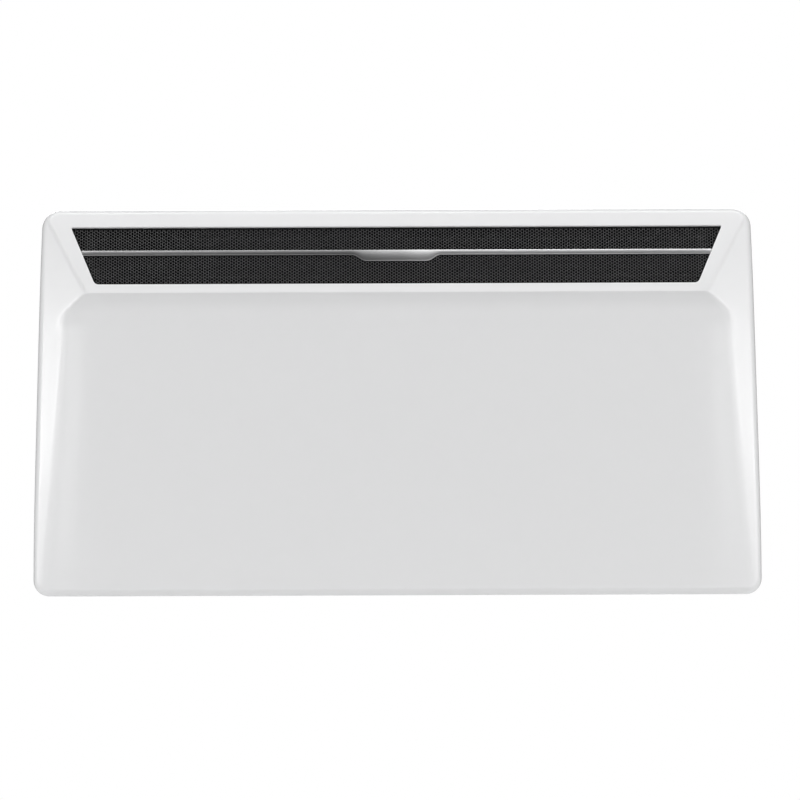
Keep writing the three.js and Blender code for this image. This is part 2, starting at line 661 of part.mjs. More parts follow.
// From the terminal block to the cut-out, the two ends of the element, the earth point on the
// rear panel and the module's socket.
function wireRoutes() {
  const way = (i) => BLOCK.x + (i - 0.5) * BLOCK.pitch + BLOCK.wall / 2;
  const floor = REAR_PANEL.front + BLOCK.well + GAP;
  const upper = BLOCK.z - 4;
  const lower = BLOCK.z - BLOCK.length + 4;
  const blade = cutoutDepth() + CUTOUT.bladeLength + 2 * GAP;
  const pinTop = ELEMENT.z + SHEATH.pin + GAP;
  const pinRight = SHEATH.right + SHEATH.pinLength - 4;
  const pinLeft = SHEATH.left - SHEATH.pinLength + 4;
  const { x, z, bladeApart } = CUTOUT;
  const socket = BAY.inner - SOCKET.length - GAP;
  const panel = REAR_PANEL.front + GAP;
  return [
    ['wire_live', brownWire, [
      [way(1), floor, upper], [way(1) - 4, 44, upper + 6], [260, 58, 214], [216, 56, 200],
      [x + bladeApart, blade, z],
    ]],
    ['wire_element_live', brownWire, [
      [x - bladeApart, blade, z], [190, 56, 178], [216, 66, 162], [264, 66, 160], [pinRight, 60, 136],
      [pinRight, ELEMENT.depth, pinTop],
    ]],
    ['wire_element_neutral', blueWire, [
      [way(3), floor, upper], [way(3) - 2, 46, upper + 4], [286, 74, 188], [200, 74, 160], [0, 72, 156],
      [-250, 72, 156], [-340, 66, 158], [pinLeft, 60, 140], [pinLeft, ELEMENT.depth, pinTop],
    ]],
    ['wire_earth', greenWire, [
      [way(2), floor, upper], [way(2), 42, upper + 12], [300, 44, 226], [284, 40, 229], [280, 28, 229],
      [280, panel, 229],
    ]],
    ['wire_module_live', brownWire, [
      [way(1), floor, lower], [way(1) - 6, 38, lower - 14], [288, 44, 150], [276, 44, 122],
      [socket - 6, BAY.centreDepth, BAY.centreZ + 8], [socket, BAY.centreDepth, BAY.centreZ + 8],
    ]],
    ['wire_module_neutral', blueWire, [
      [way(3), floor, lower], [way(3) - 4, 52, lower - 18], [292, 56, 156], [274, 50, 112],
      [socket - 7, BAY.centreDepth, BAY.centreZ - 8], [socket, BAY.centreDepth, BAY.centreZ - 8],
    ]],
  ];
}

function cordGland() {
  const { radius, bore, collar, skirt, nose, tail } = GLAND;
  const back = REAR_PANEL.depth - GAP;
  const { front } = REAR_PANEL;
  return turned([
    [bore, -front - nose], [radius, -front - nose], [radius + collar, -front], [radius, -front],
    [radius, -back], [radius + skirt, -back], [radius + skirt / 2, tail - back], [bore, tail - back],
    [bore, -front - nose],
  ], 'y');
}

// ---- control module and its bay ----
function moduleBay() {
  const { inner, wall } = BAY;
  const tube = prism('side', bayOutline(wall), inner, CASING.bottomHalf);
  const room = prism('side', bayOutline(), inner + wall, CASING.bottomHalf + 1);
  const socketHole = prism('side', plugOutline(SOCKET.wall + GAP), inner - 1, inner + wall + 1);
  const limits = casingForm(CASING.sheet + GAP, CASING.lipDepth);
  return tube.subtract(room).subtract(socketHole).intersect(limits);
}

function plugOutline(grow) {
  const { centreDepth, centreZ } = BAY;
  const halfDepth = PLUG.halfDepth + grow;
  const halfHeight = PLUG.halfHeight + grow;
  return rectangle(
    centreDepth - halfDepth, centreZ - halfHeight, centreDepth + halfDepth, centreZ + halfHeight, 2,
  );
}

function baySocket() {
  const { inner, wall } = BAY;
  const body = prism('side', plugOutline(SOCKET.wall), inner - SOCKET.length, inner + wall);
  const well = prism('side', plugOutline(GAP), inner - SOCKET.wellDepth, inner + wall + 1);
  return body.subtract(well);
}

function modulePlug() {
  const { centreDepth, centreZ, inner } = BAY;
  const { length, slits, slitHalf, slitDepth } = PLUG;
  const tip = inner - length;
  const shell = prism('side', plugOutline(0), tip, MODULE.inner - GAP);
  const cuts = slits.map((up) => {
    const middle = centreZ + up;
    const outline = rectangle(centreDepth - slitHalf, middle - 1, centreDepth + slitHalf, middle + 1);
    return prism('side', outline, tip - 1, tip + slitDepth);
  });
  return cuts.reduce((form, slit) => form.subtract(slit), shell);
}

function moduleCase() {
  const { inner, face, wall, facePlate, play } = MODULE;
  const outer = prism('side', bayOutline(-play), inner, face - facePlate - GAP);
  return outer.subtract(prism('side', bayOutline(-play - wall), inner + wall, face));
}

function moduleFace() {
  const { face, facePlate, play } = MODULE;
  const { centreDepth, centreZ } = BAY;
  const holes = [
    circle(centreDepth, centreZ + KNOB.z, KNOB.bore + GAP, 16),
    circle(centreDepth, centreZ + PILOT.z, PILOT.radius + GAP, 16),
    rockerOutline(ROCKER.wall + GAP),
  ];
  return prism('side', bayOutline(-play), face - facePlate, face, holes);
}

function rockerOutline(grow) {
  const { centreDepth, centreZ } = BAY;
  const { z, halfHeight, halfWidth } = ROCKER;
  return rectangle(
    centreDepth - halfWidth - grow, centreZ + z - halfHeight - grow,
    centreDepth + halfWidth + grow, centreZ + z + halfHeight + grow,
  );
}

function rockerHousing() {
  const { face, facePlate } = MODULE;
  const { wall, depth, bezel, bezelHeight } = ROCKER;
  const back = face - facePlate - depth;
  const front = face + GAP;
  const body = prism('side', rockerOutline(wall), back, front);
  const frame = prism('side', rockerOutline(wall + bezel), front, front + bezelHeight);
  const well = prism('side', rockerOutline(0), back + wall, front + CLEAR);
  return body.add(frame).subtract(well);
}

// The rocker is drawn round its pivot: two faces that meet in a shallow valley.
function rocker() {
  const { halfHeight, halfWidth, pivotInset, endGap, sideGap, proud, valley, heelHalf, heelDepth } = ROCKER;
  const reach = halfHeight - endGap;
  const crest = pivotInset + proud;
  const section = [
    [-heelHalf, -heelDepth], [heelHalf, -heelDepth], [reach, heelHalf / 2], [reach - sideGap, crest],
    [0, crest - valley], [-reach + sideGap, crest], [-reach, heelHalf / 2],
  ];
  const outline = section.map(([z, out]) => new THREE.Vector2(out, z)).reverse();
  const shape = flat(outline, -halfWidth + sideGap, halfWidth - sideGap);
  return solidOf(shape.applyMatrix4(VIEWS.front));
}

function thermostatBody() {
  const { face, facePlate } = MODULE;
  const { half, depth, boreDepth } = THERMOSTAT;
  const { centreDepth, centreZ } = BAY;
  const middle = centreZ + KNOB.z;
  const front = face - facePlate - GAP;
  const outline = rectangle(centreDepth - half, middle - half, centreDepth + half, middle + half, 4);
  const bore = circle(centreDepth, middle, KNOB.bore + GAP, 16);
  return prism('side', outline, front - depth, front)
    .subtract(prism('side', bore, front - boreDepth, front + 1));
}

function thermostatSpindle() {
  const half = THERMOSTAT.spindle / 2;
  const radius = KNOB.bore - GAP;
  return turned([[0, -half], [radius, -half], [radius, half], [0, half]], 'x', 14);
}

// Fluted grip with a pointer ridge across its face; a blind bore takes the spindle.
function thermostatKnob() {
  const { radius, height, face, flutes, fluteDepth, bore, bevel, skirt, skirtHeight, pointerHalf } = KNOB;
  const steps = flutes * 3;
  const outline = Array.from({ length: steps }, (_, k) => {
    const angle = (2 * Math.PI * k) / steps;
    const reach = radius - fluteDepth * (1 - Math.cos(flutes * angle)) / 2;
    return new THREE.Vector2(reach * Math.cos(angle), reach * Math.sin(angle));
  });
  const grip = bevelledPlate(outline, face, face, bevel);
  const disc = flat(circle(0, 0, radius + skirt, 32), 0, skirtHeight);
  const ridge = flat(slot(0, 0, pointerHalf, radius - skirt, 3), face - bevel, height);
  const boreCut = flat(circle(0, 0, bore, 14), -1, face - bevel);
  const form = solidOf(grip).add(solidOf(disc)).add(solidOf(ridge)).subtract(solidOf(boreCut));
  return geometryOf(form).rotateX(Math.PI / 2).rotateZ(Math.PI / 2);
}

function pilotLens() {
  const { radius, length, flange, height, crown } = PILOT;
  return turned([
    [0, -length], [radius, -length], [radius, GAP], [radius + flange, GAP], [radius - crown, height],
    [0, height + crown],
  ], 'x', 16);
}

// ---- assembly ----
const group = new THREE.Group();
group.add(node('wall_bracket', wallBracket(), zincSteel));

const heater = new THREE.Group();
heater.position.z = -BRACKET.z;
group.add(heater);
heater.add(node('front_housing', frontHousing(), whiteEnamel));
heater.add(node('rear_panel', rearPanel(), zincSteel));
heater.add(node('intake_grille', intakeGrille(), blackPlastic));
screwPlaces().forEach(([x, z], i) => {
  heater.add(node(`rear_panel_screw_${i + 1}`, screw(), zincSteel, [x, GAP - REAR_PANEL.depth, z]));
});
heater.add(node('wall_bumper_left', wallBumper(), rubber, [-BUMPER.x, 0, BUMPER.z]));
heater.add(node('wall_bumper_right', wallBumper(), rubber, [BUMPER.x, 0, BUMPER.z]));

const facet = new THREE.Group();
facet.applyMatrix4(facetMatrix());
heater.add(facet);
facet.add(node('outlet_mesh', outletMesh(), blackSteel));
facet.add(node('outlet_trim_bar', trimBar(), silverTrim));
VANE.heights.forEach((up, i) => facet.add(node(`louvre_vane_${i + 1}`, vane(up), blackSteel)));
facet.add(node('vane_rack_left', vaneRack(-1), blackSteel));
facet.add(node('vane_rack_right', vaneRack(1), blackSteel));

const onAxis = (x) => [x, -ELEMENT.depth, ELEMENT.z];
const bushLeft = geometryOf(elementBush()).rotateZ(Math.PI);
const bushPlaces = [-1, 1].map((side) => onAxis(bracketX(side)));
heater.add(node('heating_fins', heatingFins(), rawAluminium));
heater.add(node('element_sheath', elementSheath(), zincSteel, onAxis(0)));
heater.add(node('element_bush_left', bushLeft, ceramic, bushPlaces[0]));
heater.add(node('element_bush_right', elementBush(), ceramic, bushPlaces[1]));
heater.add(node('element_bracket_left', elementBracket(-1), zincSteel));
heater.add(node('element_bracket_right', elementBracket(1), zincSteel));
heater.add(node('heat_shield', heatShield(), rawAluminium));
heater.add(node('air_guide', airGuide(), blackSteel));
heater.add(node('thermal_cutout', thermalCutout(), ceramic, [CUTOUT.x, -cutoutDepth(), CUTOUT.z]));
heater.add(node('terminal_block', terminalBlock(), ceramic, [BLOCK.x, -REAR_PANEL.front, BLOCK.z]));
heater.add(node('cord_gland', cordGland(), rubber, [GLAND.x, 0, GLAND.z]));
wireRoutes().forEach(([name, colour, places]) => heater.add(node(name, wire(places), colour)));

heater.add(node('module_bay', moduleBay(), greyPlastic));
heater.add(node('bay_socket', baySocket(), greyPlastic));
heater.add(node('module_case', moduleCase(), greyPlastic));
heater.add(node('module_face', moduleFace(), greyPlastic));
heater.add(node('module_plug', modulePlug(), blackPlastic));
heater.add(node('thermostat_body', thermostatBody(), brass));

const controls = new THREE.Group();
controls.position.set(MODULE.face, -BAY.centreDepth, BAY.centreZ);
heater.add(controls);
controls.add(node('thermostat_spindle', thermostatSpindle(), brass, [-5, 0, KNOB.z]));
controls.add(node('thermostat_knob', thermostatKnob(), blackPlastic, [0.6, 0, KNOB.z]));
const backToHeater = controls.position.clone().negate().toArray();
controls.add(node('rocker_housing', rockerHousing(), blackPlastic, backToHeater));
controls.add(node('rocker', rocker(), blackPlastic, [-ROCKER.pivotInset + 1.5, 0, ROCKER.z]));
controls.add(node('pilot_lens', pilotLens(), redLens, [0, 0, PILOT.z]));

export default group;
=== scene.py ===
"""Looks of the wall panel convector heater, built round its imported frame."""
import json
import math

import bmesh
import bpy
import numpy as np
from mathutils import Matrix, Vector


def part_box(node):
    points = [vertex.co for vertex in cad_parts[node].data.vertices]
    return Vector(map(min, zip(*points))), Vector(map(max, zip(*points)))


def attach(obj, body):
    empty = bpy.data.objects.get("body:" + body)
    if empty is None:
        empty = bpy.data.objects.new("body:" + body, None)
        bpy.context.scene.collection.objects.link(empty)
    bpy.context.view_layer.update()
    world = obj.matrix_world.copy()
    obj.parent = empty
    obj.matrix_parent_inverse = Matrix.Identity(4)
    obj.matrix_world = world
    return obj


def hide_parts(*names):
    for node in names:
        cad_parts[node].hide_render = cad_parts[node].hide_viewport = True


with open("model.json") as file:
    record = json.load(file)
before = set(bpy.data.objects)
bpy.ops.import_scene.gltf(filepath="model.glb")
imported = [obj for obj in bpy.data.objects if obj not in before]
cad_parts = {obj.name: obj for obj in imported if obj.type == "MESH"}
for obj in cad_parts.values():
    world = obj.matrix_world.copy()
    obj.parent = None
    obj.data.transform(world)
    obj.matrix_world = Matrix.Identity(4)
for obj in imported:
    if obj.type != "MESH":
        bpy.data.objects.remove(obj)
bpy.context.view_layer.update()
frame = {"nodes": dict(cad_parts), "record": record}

MM = 0.001

# ---- sizes, in metres, taken from the frame where it holds them ----
CASE_LOW, CASE_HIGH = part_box("front_housing")
BASE_Z = CASE_LOW.z
HEIGHT = CASE_HIGH.z - CASE_LOW.z
REAR = -CASE_HIGH.y
RIDGE_DEPTH = -CASE_LOW.y
BOTTOM_HALF = 416 * MM
TOP_HALF = 403 * MM
TAPER = (BOTTOM_HALF - TOP_HALF) / HEIGHT
# the sides bow outwards by SIDE_BOW, above this share of the height
SIDE_BOW = 1.4 * MM
BOW_START = 0.05
BOTTOM_RADIUS = 19 * MM
TOP_RADIUS = 21 * MM
SHEET = 1 * MM

RIDGE_Z = 345 * MM
TOP_DEPTH = 78 * MM
# (depth, height) points of the panel's slight curve and of its sweep up to the ridge
PANEL_CURVE = ((88 * MM, 0), (97.4 * MM, 220 * MM), (98 * MM, 301 * MM))
SWEEP_CURVE = ((98 * MM, 301 * MM), (98.8 * MM, 331 * MM), (RIDGE_DEPTH, RIDGE_Z))
SHOULDER_DEPTH = 78.5 * MM
SHOULDER_SLOPE = 0.62
# the panel bends back towards its sides: most at SWELL_Z, less above BEND_FADE_Z, not at the ridge
BEND_START = 72 * MM
BEND_CURVATURE = 1.56
BEND_FADE_Z = 318 * MM
SWELL_SHARE, SWELL_Z, SWELL_REACH = 0.22, 225 * MM, 70 * MM
RIDGE_BLEND = 1.0 * MM
SHOULDER_BLEND, SHOULDER_BLEND_LOWER, LOWER_BLEND_Z = 1.6 * MM, 3.4 * MM, 300 * MM
FACET_SLOPE = (RIDGE_DEPTH - TOP_DEPTH) / (HEIGHT - RIDGE_Z)
FACET_TILT = math.atan(FACET_SLOPE)

OUTLET_LOW = 355.3 * MM
OUTLET_HIGH = 420.4 * MM
OUTLET_LOW_HALF = 342.8 * MM
OUTLET_HIGH_HALF = 370.6 * MM
OUTLET_LOW_CORNER = 6.5 * MM
OUTLET_HIGH_CORNER = 1.5 * MM
RIM_DEPTH = 3.2 * MM

PHOTO_SIDE = 800
MM_PER_PIXEL = 1.14
PHOTO_CENTRE_X = 397
PHOTO_BASE_Y = 595.3
CAMERA_DISTANCE = 8.0
OUTLINE_DEPTH = 80 * MM
SENSOR = 36.0
PHOTO_ROLL = math.radians(0.2)
FLOOR_DROP = 0.36


# ---- mesh helpers ----
def new_object(name, vertices, faces, smooth_angle=None, closed=True):
    """A mesh object from plain lists, shaded smooth below smooth_angle degrees if one is given."""
    mesh = bpy.data.meshes.new(name)
    mesh.from_pydata([tuple(v) for v in vertices], [], [tuple(f) for f in faces])
    mesh.validate()
    obj = bpy.data.objects.new(name, mesh)
    bpy.context.scene.collection.objects.link(obj)
    if closed:
        face_outwards(obj)
    if smooth_angle is not None:
        shade(obj, smooth_angle)
    return obj


def face_outwards(obj):
    """Turns the faces of a closed mesh outwards."""
    work = bmesh.new()
    work.from_mesh(obj.data)
    bmesh.ops.recalc_face_normals(work, faces=work.faces)
    work.to_mesh(obj.data)
    work.free()


def shade(obj, angle):
    """Smooth shading, with sharp edges where two faces meet at more than angle degrees."""
    obj.data.polygons.foreach_set("use_smooth", [True] * len(obj.data.polygons))
    obj.data.set_sharp_from_angle(angle=math.radians(angle))


def freeze(obj):
    """Replaces the object's mesh by what its modifiers make of it."""
    graph = bpy.context.evaluated_depsgraph_get()
    mesh = bpy.data.meshes.new_from_object(obj.evaluated_get(graph))
    obj.modifiers.clear()
    obj.data = mesh


def combine(obj, other, operation):
    """Joins or cuts obj with other, which is used up."""
    change = obj.modifiers.new(operation.lower(), "BOOLEAN")
    change.operation = operation
    change.solver = "MANIFOLD"
    change.object = other
    freeze(obj)
    bpy.data.objects.remove(other)


def join(obj, other):
    """Adds the faces of other to obj as loose parts; other is used up."""
    work = bmesh.new()
    work.from_mesh(obj.data)
    work.from_mesh(other.data)
    work.to_mesh(obj.data)
    work.free()
    bpy.data.objects.remove(other)


def ring_faces(count, near, far):
    """Faces between two rings of count vertices, which start at the vertices near and far."""
    return [(near + i, near + (i + 1) % count, far + (i + 1) % count, far + i) for i in range(count)]


def loft(name, rings, smooth_angle=None):
    """A closed solid through rings of equal length, capped at both ends."""
    count = len(rings[0])
    vertices = [point for ring in rings for point in ring]
    faces = []
    for level in range(len(rings) - 1):
        faces += ring_faces(count, level * count, (level + 1) * count)
    faces.append(range(count))
    faces.append(range(len(vertices) - count, len(vertices)))
    return new_object(name, vertices, faces, smooth_angle)


def band(name, rings, smooth_angle=None):
    """A closed band through rings of equal length, the last joined to the first."""
    count = len(rings[0])
    vertices = [point for ring in rings for point in ring]
    faces = []
    for level in range(len(rings)):
        faces += ring_faces(count, level * count, (level + 1) % len(rings) * count)
    return new_object(name, vertices, faces, smooth_angle)


def lathe(name, origin, axis, profile, steps=64, flutes=0, flute_depth=0.0):
    """A piece turned round the "x" or "y" axis through origin, from (distance along it, radius) points.

    With flutes, a point may hold a third number: how much of flute_depth shows there."""
    rings = []
    for along, radius, *rest in profile:
        share = rest[0] if rest else 0
        ring = []
        for k in range(steps):
            angle = 2 * math.pi * k / steps
            reach = radius - share * flute_depth * (0.5 - 0.5 * math.cos(flutes * angle))
            across, up = reach * math.cos(angle), reach * math.sin(angle)
            spot = (along, across, up) if axis == "x" else (across, along, up)
            ring.append(Vector(spot) + Vector(origin))
        rings.append(ring)
    return loft(name, rings, smooth_angle=35)


def rounded_profile(points, steps=4):
    """Lathe profile from (distance, radius, rounding) corners, each rounding drawn as an arc."""
    fine = []
    for i, (along, radius, rounding) in enumerate(points):
        corner = Vector((along, radius))
        if not rounding:
            fine.append(tuple(corner))
            continue
        back = (Vector(points[i - 1][:2]) - corner).normalized()
        ahead = (Vector(points[i + 1][:2]) - corner).normalized()
        half = back.angle(ahead) / 2
        reach = rounding / math.tan(half)
        start, end = corner + back * reach, corner + ahead * reach
        for k in range(steps + 1):
            t = k / steps
            fine.append(tuple((1 - t) ** 2 * start + 2 * t * (1 - t) * corner + t * t * end))
    return fine


def in_metres(profile):
    return [(along * MM, radius * MM) for along, radius in profile]


def middle_of(low, high):
    return [(a + b) / 2 for a, b in zip(low, high)]


def steps_after(low, high, count):
    """count even steps from low up to high, without low itself."""
    return [low + (high - low) * (i + 1) / count for i in range(count)]


def rounded_outline(corners, steps=8):
    """Outline through (x, y) or (x, y, radius) corners; a radius becomes an arc."""
    points = []
    for i, (x, y, *rest) in enumerate(corners):
        corner = Vector((x, y))
        radius = rest[0] if rest else 0
        if not radius:
            points.append(corner)
            continue
        back = (Vector(corners[i - 1][:2]) - corner).normalized()
        ahead = (Vector(corners[(i + 1) % len(corners)][:2]) - corner).normalized()
        half = back.angle(ahead) / 2
        centre = corner + (back + ahead).normalized() * (radius / math.sin(half))
        start = corner + back * (radius / math.tan(half)) - centre
        end = corner + ahead * (radius / math.tan(half)) - centre
        sweep = math.atan2(start.x * end.y - start.y * end.x, start.dot(end))
        first = math.atan2(start.y, start.x)
        for k in range(steps + 1):
            angle = first + sweep * k / steps
            points.append(centre + radius * Vector((math.cos(angle), math.sin(angle))))
    return points


def grown(points, distance):
    """A counter-clockwise outline with every edge moved outwards by distance."""
    result = []
    for i, point in enumerate(points):
        before = (point - points[i - 1]).normalized()
        after = (points[(i + 1) % len(points)] - point).normalized()
        out_before = Vector((before.y, -before.x))
        out_after = Vector((after.y, -after.x))
        mitre = (out_before + out_after).normalized()
        result.append(point + mitre * (distance / mitre.dot(out_before)))
    return result


# ---- casing form: depth in front of the wall as a function of place ----
def smooth_min(a, b, blend):
    """The lesser of a and b, rounded off where they differ by less than blend."""
    near = np.clip(1 - np.abs(a - b) / blend, 0, 1)
    return np.minimum(a, b) - near * near * blend / 4


def smooth_step(value, low, high):
    """Runs smoothly from 0 at low to 1 at high."""
    share = np.clip((value - low) / (high - low), 0, 1)
    return share * share * (3 - 2 * share)


def curve_depth(z, curve):
    """Depth at height z on a quadratic Bezier curve of (depth, z) points, straight beyond its ends."""
    (d0, z0), (d1, z1), (d2, z2) = curve
    a, b = z0 - 2 * z1 + z2, 2 * (z1 - z0)
    inside = np.clip(z, z0, z2)
    t = (-b + np.sqrt(b * b - 4 * a * (z0 - inside))) / (2 * a)
    depth = (1 - t) ** 2 * d0 + 2 * t * (1 - t) * d1 + t * t * d2
    beyond = np.maximum(z - z2, 0) * (d2 - d1) / (z2 - z1)
    return depth + beyond


def casing_half(z):
    """Half the casing's width at height z: the sides lean in and are slightly bowed outwards."""
    share = np.clip((z / HEIGHT - BOW_START) / (1 - BOW_START), 0, 1)
    return BOTTOM_HALF - TAPER * z + SIDE_BOW * (1 - (2 * share - 1) ** 4)


def casing_depth(side, z):
    """Depth of the casing's front before its edge is rounded; side is the distance in from the side."""
    bend = np.maximum(BEND_START - side, 0) ** 2 * BEND_CURVATURE
    bend = bend * (1 - smooth_step(z, BEND_FADE_Z, RIDGE_Z))
    bend = bend * (1 + SWELL_SHARE * np.exp(-(((z - SWELL_Z) / SWELL_REACH) ** 2)))
    panel = np.where(z < SWEEP_CURVE[0][1], curve_depth(z, PANEL_CURVE), curve_depth(z, SWEEP_CURVE))
    facet = RIDGE_DEPTH - FACET_SLOPE * (z - RIDGE_Z)
    front = smooth_min(panel - bend, facet, RIDGE_BLEND)
    shoulder = SHOULDER_DEPTH + SHOULDER_SLOPE * side
    blend = SHOULDER_BLEND + SHOULDER_BLEND_LOWER * (1 - smooth_step(z, LOWER_BLEND_Z, RIDGE_Z))
    return smooth_min(front, shoulder, blend)


# rounding of each edge: how far in it starts, and its power, where 2 is an arc and less is flatter
EDGES = {"side": (6.5 * MM, 2.0), "bottom": (8 * MM, 1.35), "top": (4 * MM, 2.0)}


def edge_drop(inset, share, end):
    """How far the rounded edge falls back; share runs from 0 on the side to 1 on the end edge."""
    radius = EDGES["side"][0] + share * (EDGES[end][0] - EDGES["side"][0])
    power = EDGES["side"][1] + share * (EDGES[end][1] - EDGES["side"][1])
    steep = np.clip(1 - inset / radius, 0, 1)
    return radius * (1 - (1 - steep**power) ** (1 / power))


# the grid's columns and rows: shares of a corner's radius, crowded towards the edge, then even steps
CORNER_COUNT, CORNER_CROWDING = 20, 1.35
CORNER_STEPS = [(i / CORNER_COUNT) ** CORNER_CROWDING for i in range(CORNER_COUNT + 1)]
BEND_COLUMNS, PANEL_COLUMNS = 38, 24
SWEEP_ROWS_Z = 290 * MM
RIDGE_ROWS_Z = (341 * MM, 349 * MM)


def casing_rows():
    """Heights of the grid's rows, as (end, distance from that end), closer where the form turns."""
    rows = [("bottom", share * BOTTOM_RADIUS) for share in CORNER_STEPS]
    stretches = [
        (BOTTOM_RADIUS, SWEEP_ROWS_Z, 30), (SWEEP_ROWS_Z, RIDGE_ROWS_Z[0], 30),
        (*RIDGE_ROWS_Z, 20), (RIDGE_ROWS_Z[1], HEIGHT - TOP_RADIUS, 50),
    ]
    for low, high, count in stretches:
        rows += [("middle", z) for z in steps_after(low, high, count)]
    rows += [("top", share * TOP_RADIUS) for share in reversed(CORNER_STEPS[:-1])]
    return rows


def casing_row(end, place):
    """Points (side, z, inset, share) of one row of the right half, from the side to the middle."""
    if end == "middle":
        radius = BOTTOM_RADIUS + (TOP_RADIUS - BOTTOM_RADIUS) * place / HEIGHT
    else:
        radius = BOTTOM_RADIUS if end == "bottom" else TOP_RADIUS
    height = {"middle": place, "bottom": place, "top": HEIGHT - place}[end]
    half = float(casing_half(height))
    columns = [share * radius for share in CORNER_STEPS]
    columns += steps_after(radius, BEND_START, BEND_COLUMNS)
    columns += steps_after(BEND_START, half, PANEL_COLUMNS)
    row = []
    for column in columns:
        if end == "middle":
            row.append((column, height, column, 0.0))
            continue
        ring = min(column, place)
        arm = radius - ring
        if column >= radius or arm <= 0:
            turn = 1.0 if column >= radius else 0.0
            side, rise = column, place
        else:
            turn = (radius - place) / (2 * arm)
            if column > place:
                turn = 1 - (radius - column) / (2 * arm)
            side = radius - arm * math.cos(turn * math.pi / 2)
            rise = radius - arm * math.sin(turn * math.pi / 2)
        z = rise if end == "bottom" else HEIGHT - rise
        row.append((side, z, min(ring, radius), turn))
    return row


def casing_front():
    """Grid of points over the front, row by row from left to right."""
    rows = []
    for end, place in casing_rows():
        side, z, inset, turn = np.array(casing_row(end, place)).T
        share = smooth_step(turn, 0.0, 1.0)
        depth = casing_depth(side, z) - edge_drop(inset, share, "bottom" if end == "middle" else end)
        x = casing_half(z) - side
        right = np.stack([x, -depth, z + BASE_Z], axis=1)[::-1]
        left = right[:0:-1] * (-1, 1, 1)
        rows.append(np.vstack([left, right]))
    return np.array(rows)


def casing_shell():
    """The pressed front with its side walls, as one sheet that is then thickened inwards."""
    grid = casing_front()
    row_count, column_count, _ = grid.shape
    index = np.arange(row_count * column_count).reshape(row_count, column_count)
    faces = [
        (index[j, i], index[j, i + 1], index[j + 1, i + 1], index[j + 1, i])
        for j in range(row_count - 1) for i in range(column_count - 1)
    ]
    border = [*index[0, :-1], *index[:-1, -1], *index[-1, :0:-1], *index[:0:-1, 0]]
    vertices = list(grid.reshape(-1, 3))
    previous = border
    wall_steps = 8
    for step in range(1, wall_steps + 1):
        level = []
        for corner in border:
            x, y, z = vertices[corner]
            level.append(len(vertices))
            vertices.append((x, y + (-REAR - y) * step / wall_steps, z))
        for k in range(len(border)):
            ahead = (k + 1) % len(border)
            faces.append((previous[k], level[k], level[ahead], previous[ahead]))
        previous = level
    shell = new_object("casing_front", vertices, faces)
    thicken = shell.modifiers.new("sheet", "SOLIDIFY")
    thicken.thickness = SHEET
    thicken.offset = -1
    thicken.use_even_offset = True
    freeze(shell)
    face_outwards(shell)
    return shell


# ---- the slanted facet's own frame: x along the ridge, y up the facet, z out of it ----
FACET_TURN = Matrix.Rotation(math.pi / 2 - FACET_TILT, 4, "X")
FACET = Matrix.Translation((0, -RIDGE_DEPTH, BASE_Z + RIDGE_Z)) @ FACET_TURN


def facet_up(z):
    """How far up the facet the height z lies."""
    return (z - RIDGE_Z) / math.cos(FACET_TILT)


def outlet_half(up):
    """Half the opening's width at up on the facet."""
    share = (up - facet_up(OUTLET_LOW)) / (facet_up(OUTLET_HIGH) - facet_up(OUTLET_LOW))
    return OUTLET_LOW_HALF + share * (OUTLET_HIGH_HALF - OUTLET_LOW_HALF)


def outlet_outline():
    low, high = facet_up(OUTLET_LOW), facet_up(OUTLET_HIGH)
    return rounded_outline([
        (-OUTLET_LOW_HALF, low, OUTLET_LOW_CORNER), (OUTLET_LOW_HALF, low, OUTLET_LOW_CORNER),
        (OUTLET_HIGH_HALF, high, OUTLET_HIGH_CORNER), (-OUTLET_HIGH_HALF, high, OUTLET_HIGH_CORNER),
    ])


def window(left, low, right, high, inset, radius):
    """Outline of a rectangle drawn in by inset, with round corners."""
    left, low, right, high = left + inset, low + inset, right - inset, high - inset
    return rounded_outline([
        (left, low, radius), (right, low, radius), (right, high, radius), (left, high, radius),
    ])


def on_facet(points, out):
    """Points of the facet's frame in the part's frame, out in front of the facet."""
    return [FACET @ Vector((p.x, p.y, out)) for p in points]


def cutter_levels(inside, outside, radius, steps=5):
    """(out, growth) pairs of a cutter that leaves an edge rounded by radius at out = 0."""
    levels = [(-inside, 0)]
    for k in range(steps + 1):
        angle = math.pi / 2 * k / steps
        levels.append((radius * (math.sin(angle) - 1), radius * (1 - math.cos(angle))))
    return [*levels, (outside, radius)]


def cut_outlet(casing):
    """The opening in the facet, with a rim turned in all round it."""
    outline = outlet_outline()
    rim_outline = grown(outline, SHEET)
    rim = loft("rim", [on_facet(rim_outline, -RIM_DEPTH), on_facet(rim_outline, -SHEET / 2)])
    combine(casing, rim, "UNION")
    rings = [
        on_facet(grown(outline, growth), out)
        for out, growth in cutter_levels(inside=30 * MM, outside=3 * MM, radius=0.7 * MM)
    ]
    combine(casing, loft("cutter", rings), "DIFFERENCE")


def cut_niche(casing):
    """The window in the right side that the control module sits in."""
    low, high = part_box("module_bay")
    wall = 1.5 * MM
    outline = window(low.y, low.z, high.y, high.z, inset=wall, radius=3 * MM)
    rings = [
        [Vector((float(casing_half(p.y - BASE_Z)) + out, p.x, p.y)) for p in grown(outline, growth)]
        for out, growth in cutter_levels(inside=20 * MM, outside=4 * MM, radius=0.8 * MM)
    ]
    combine(casing, loft("cutter", rings), "DIFFERENCE")


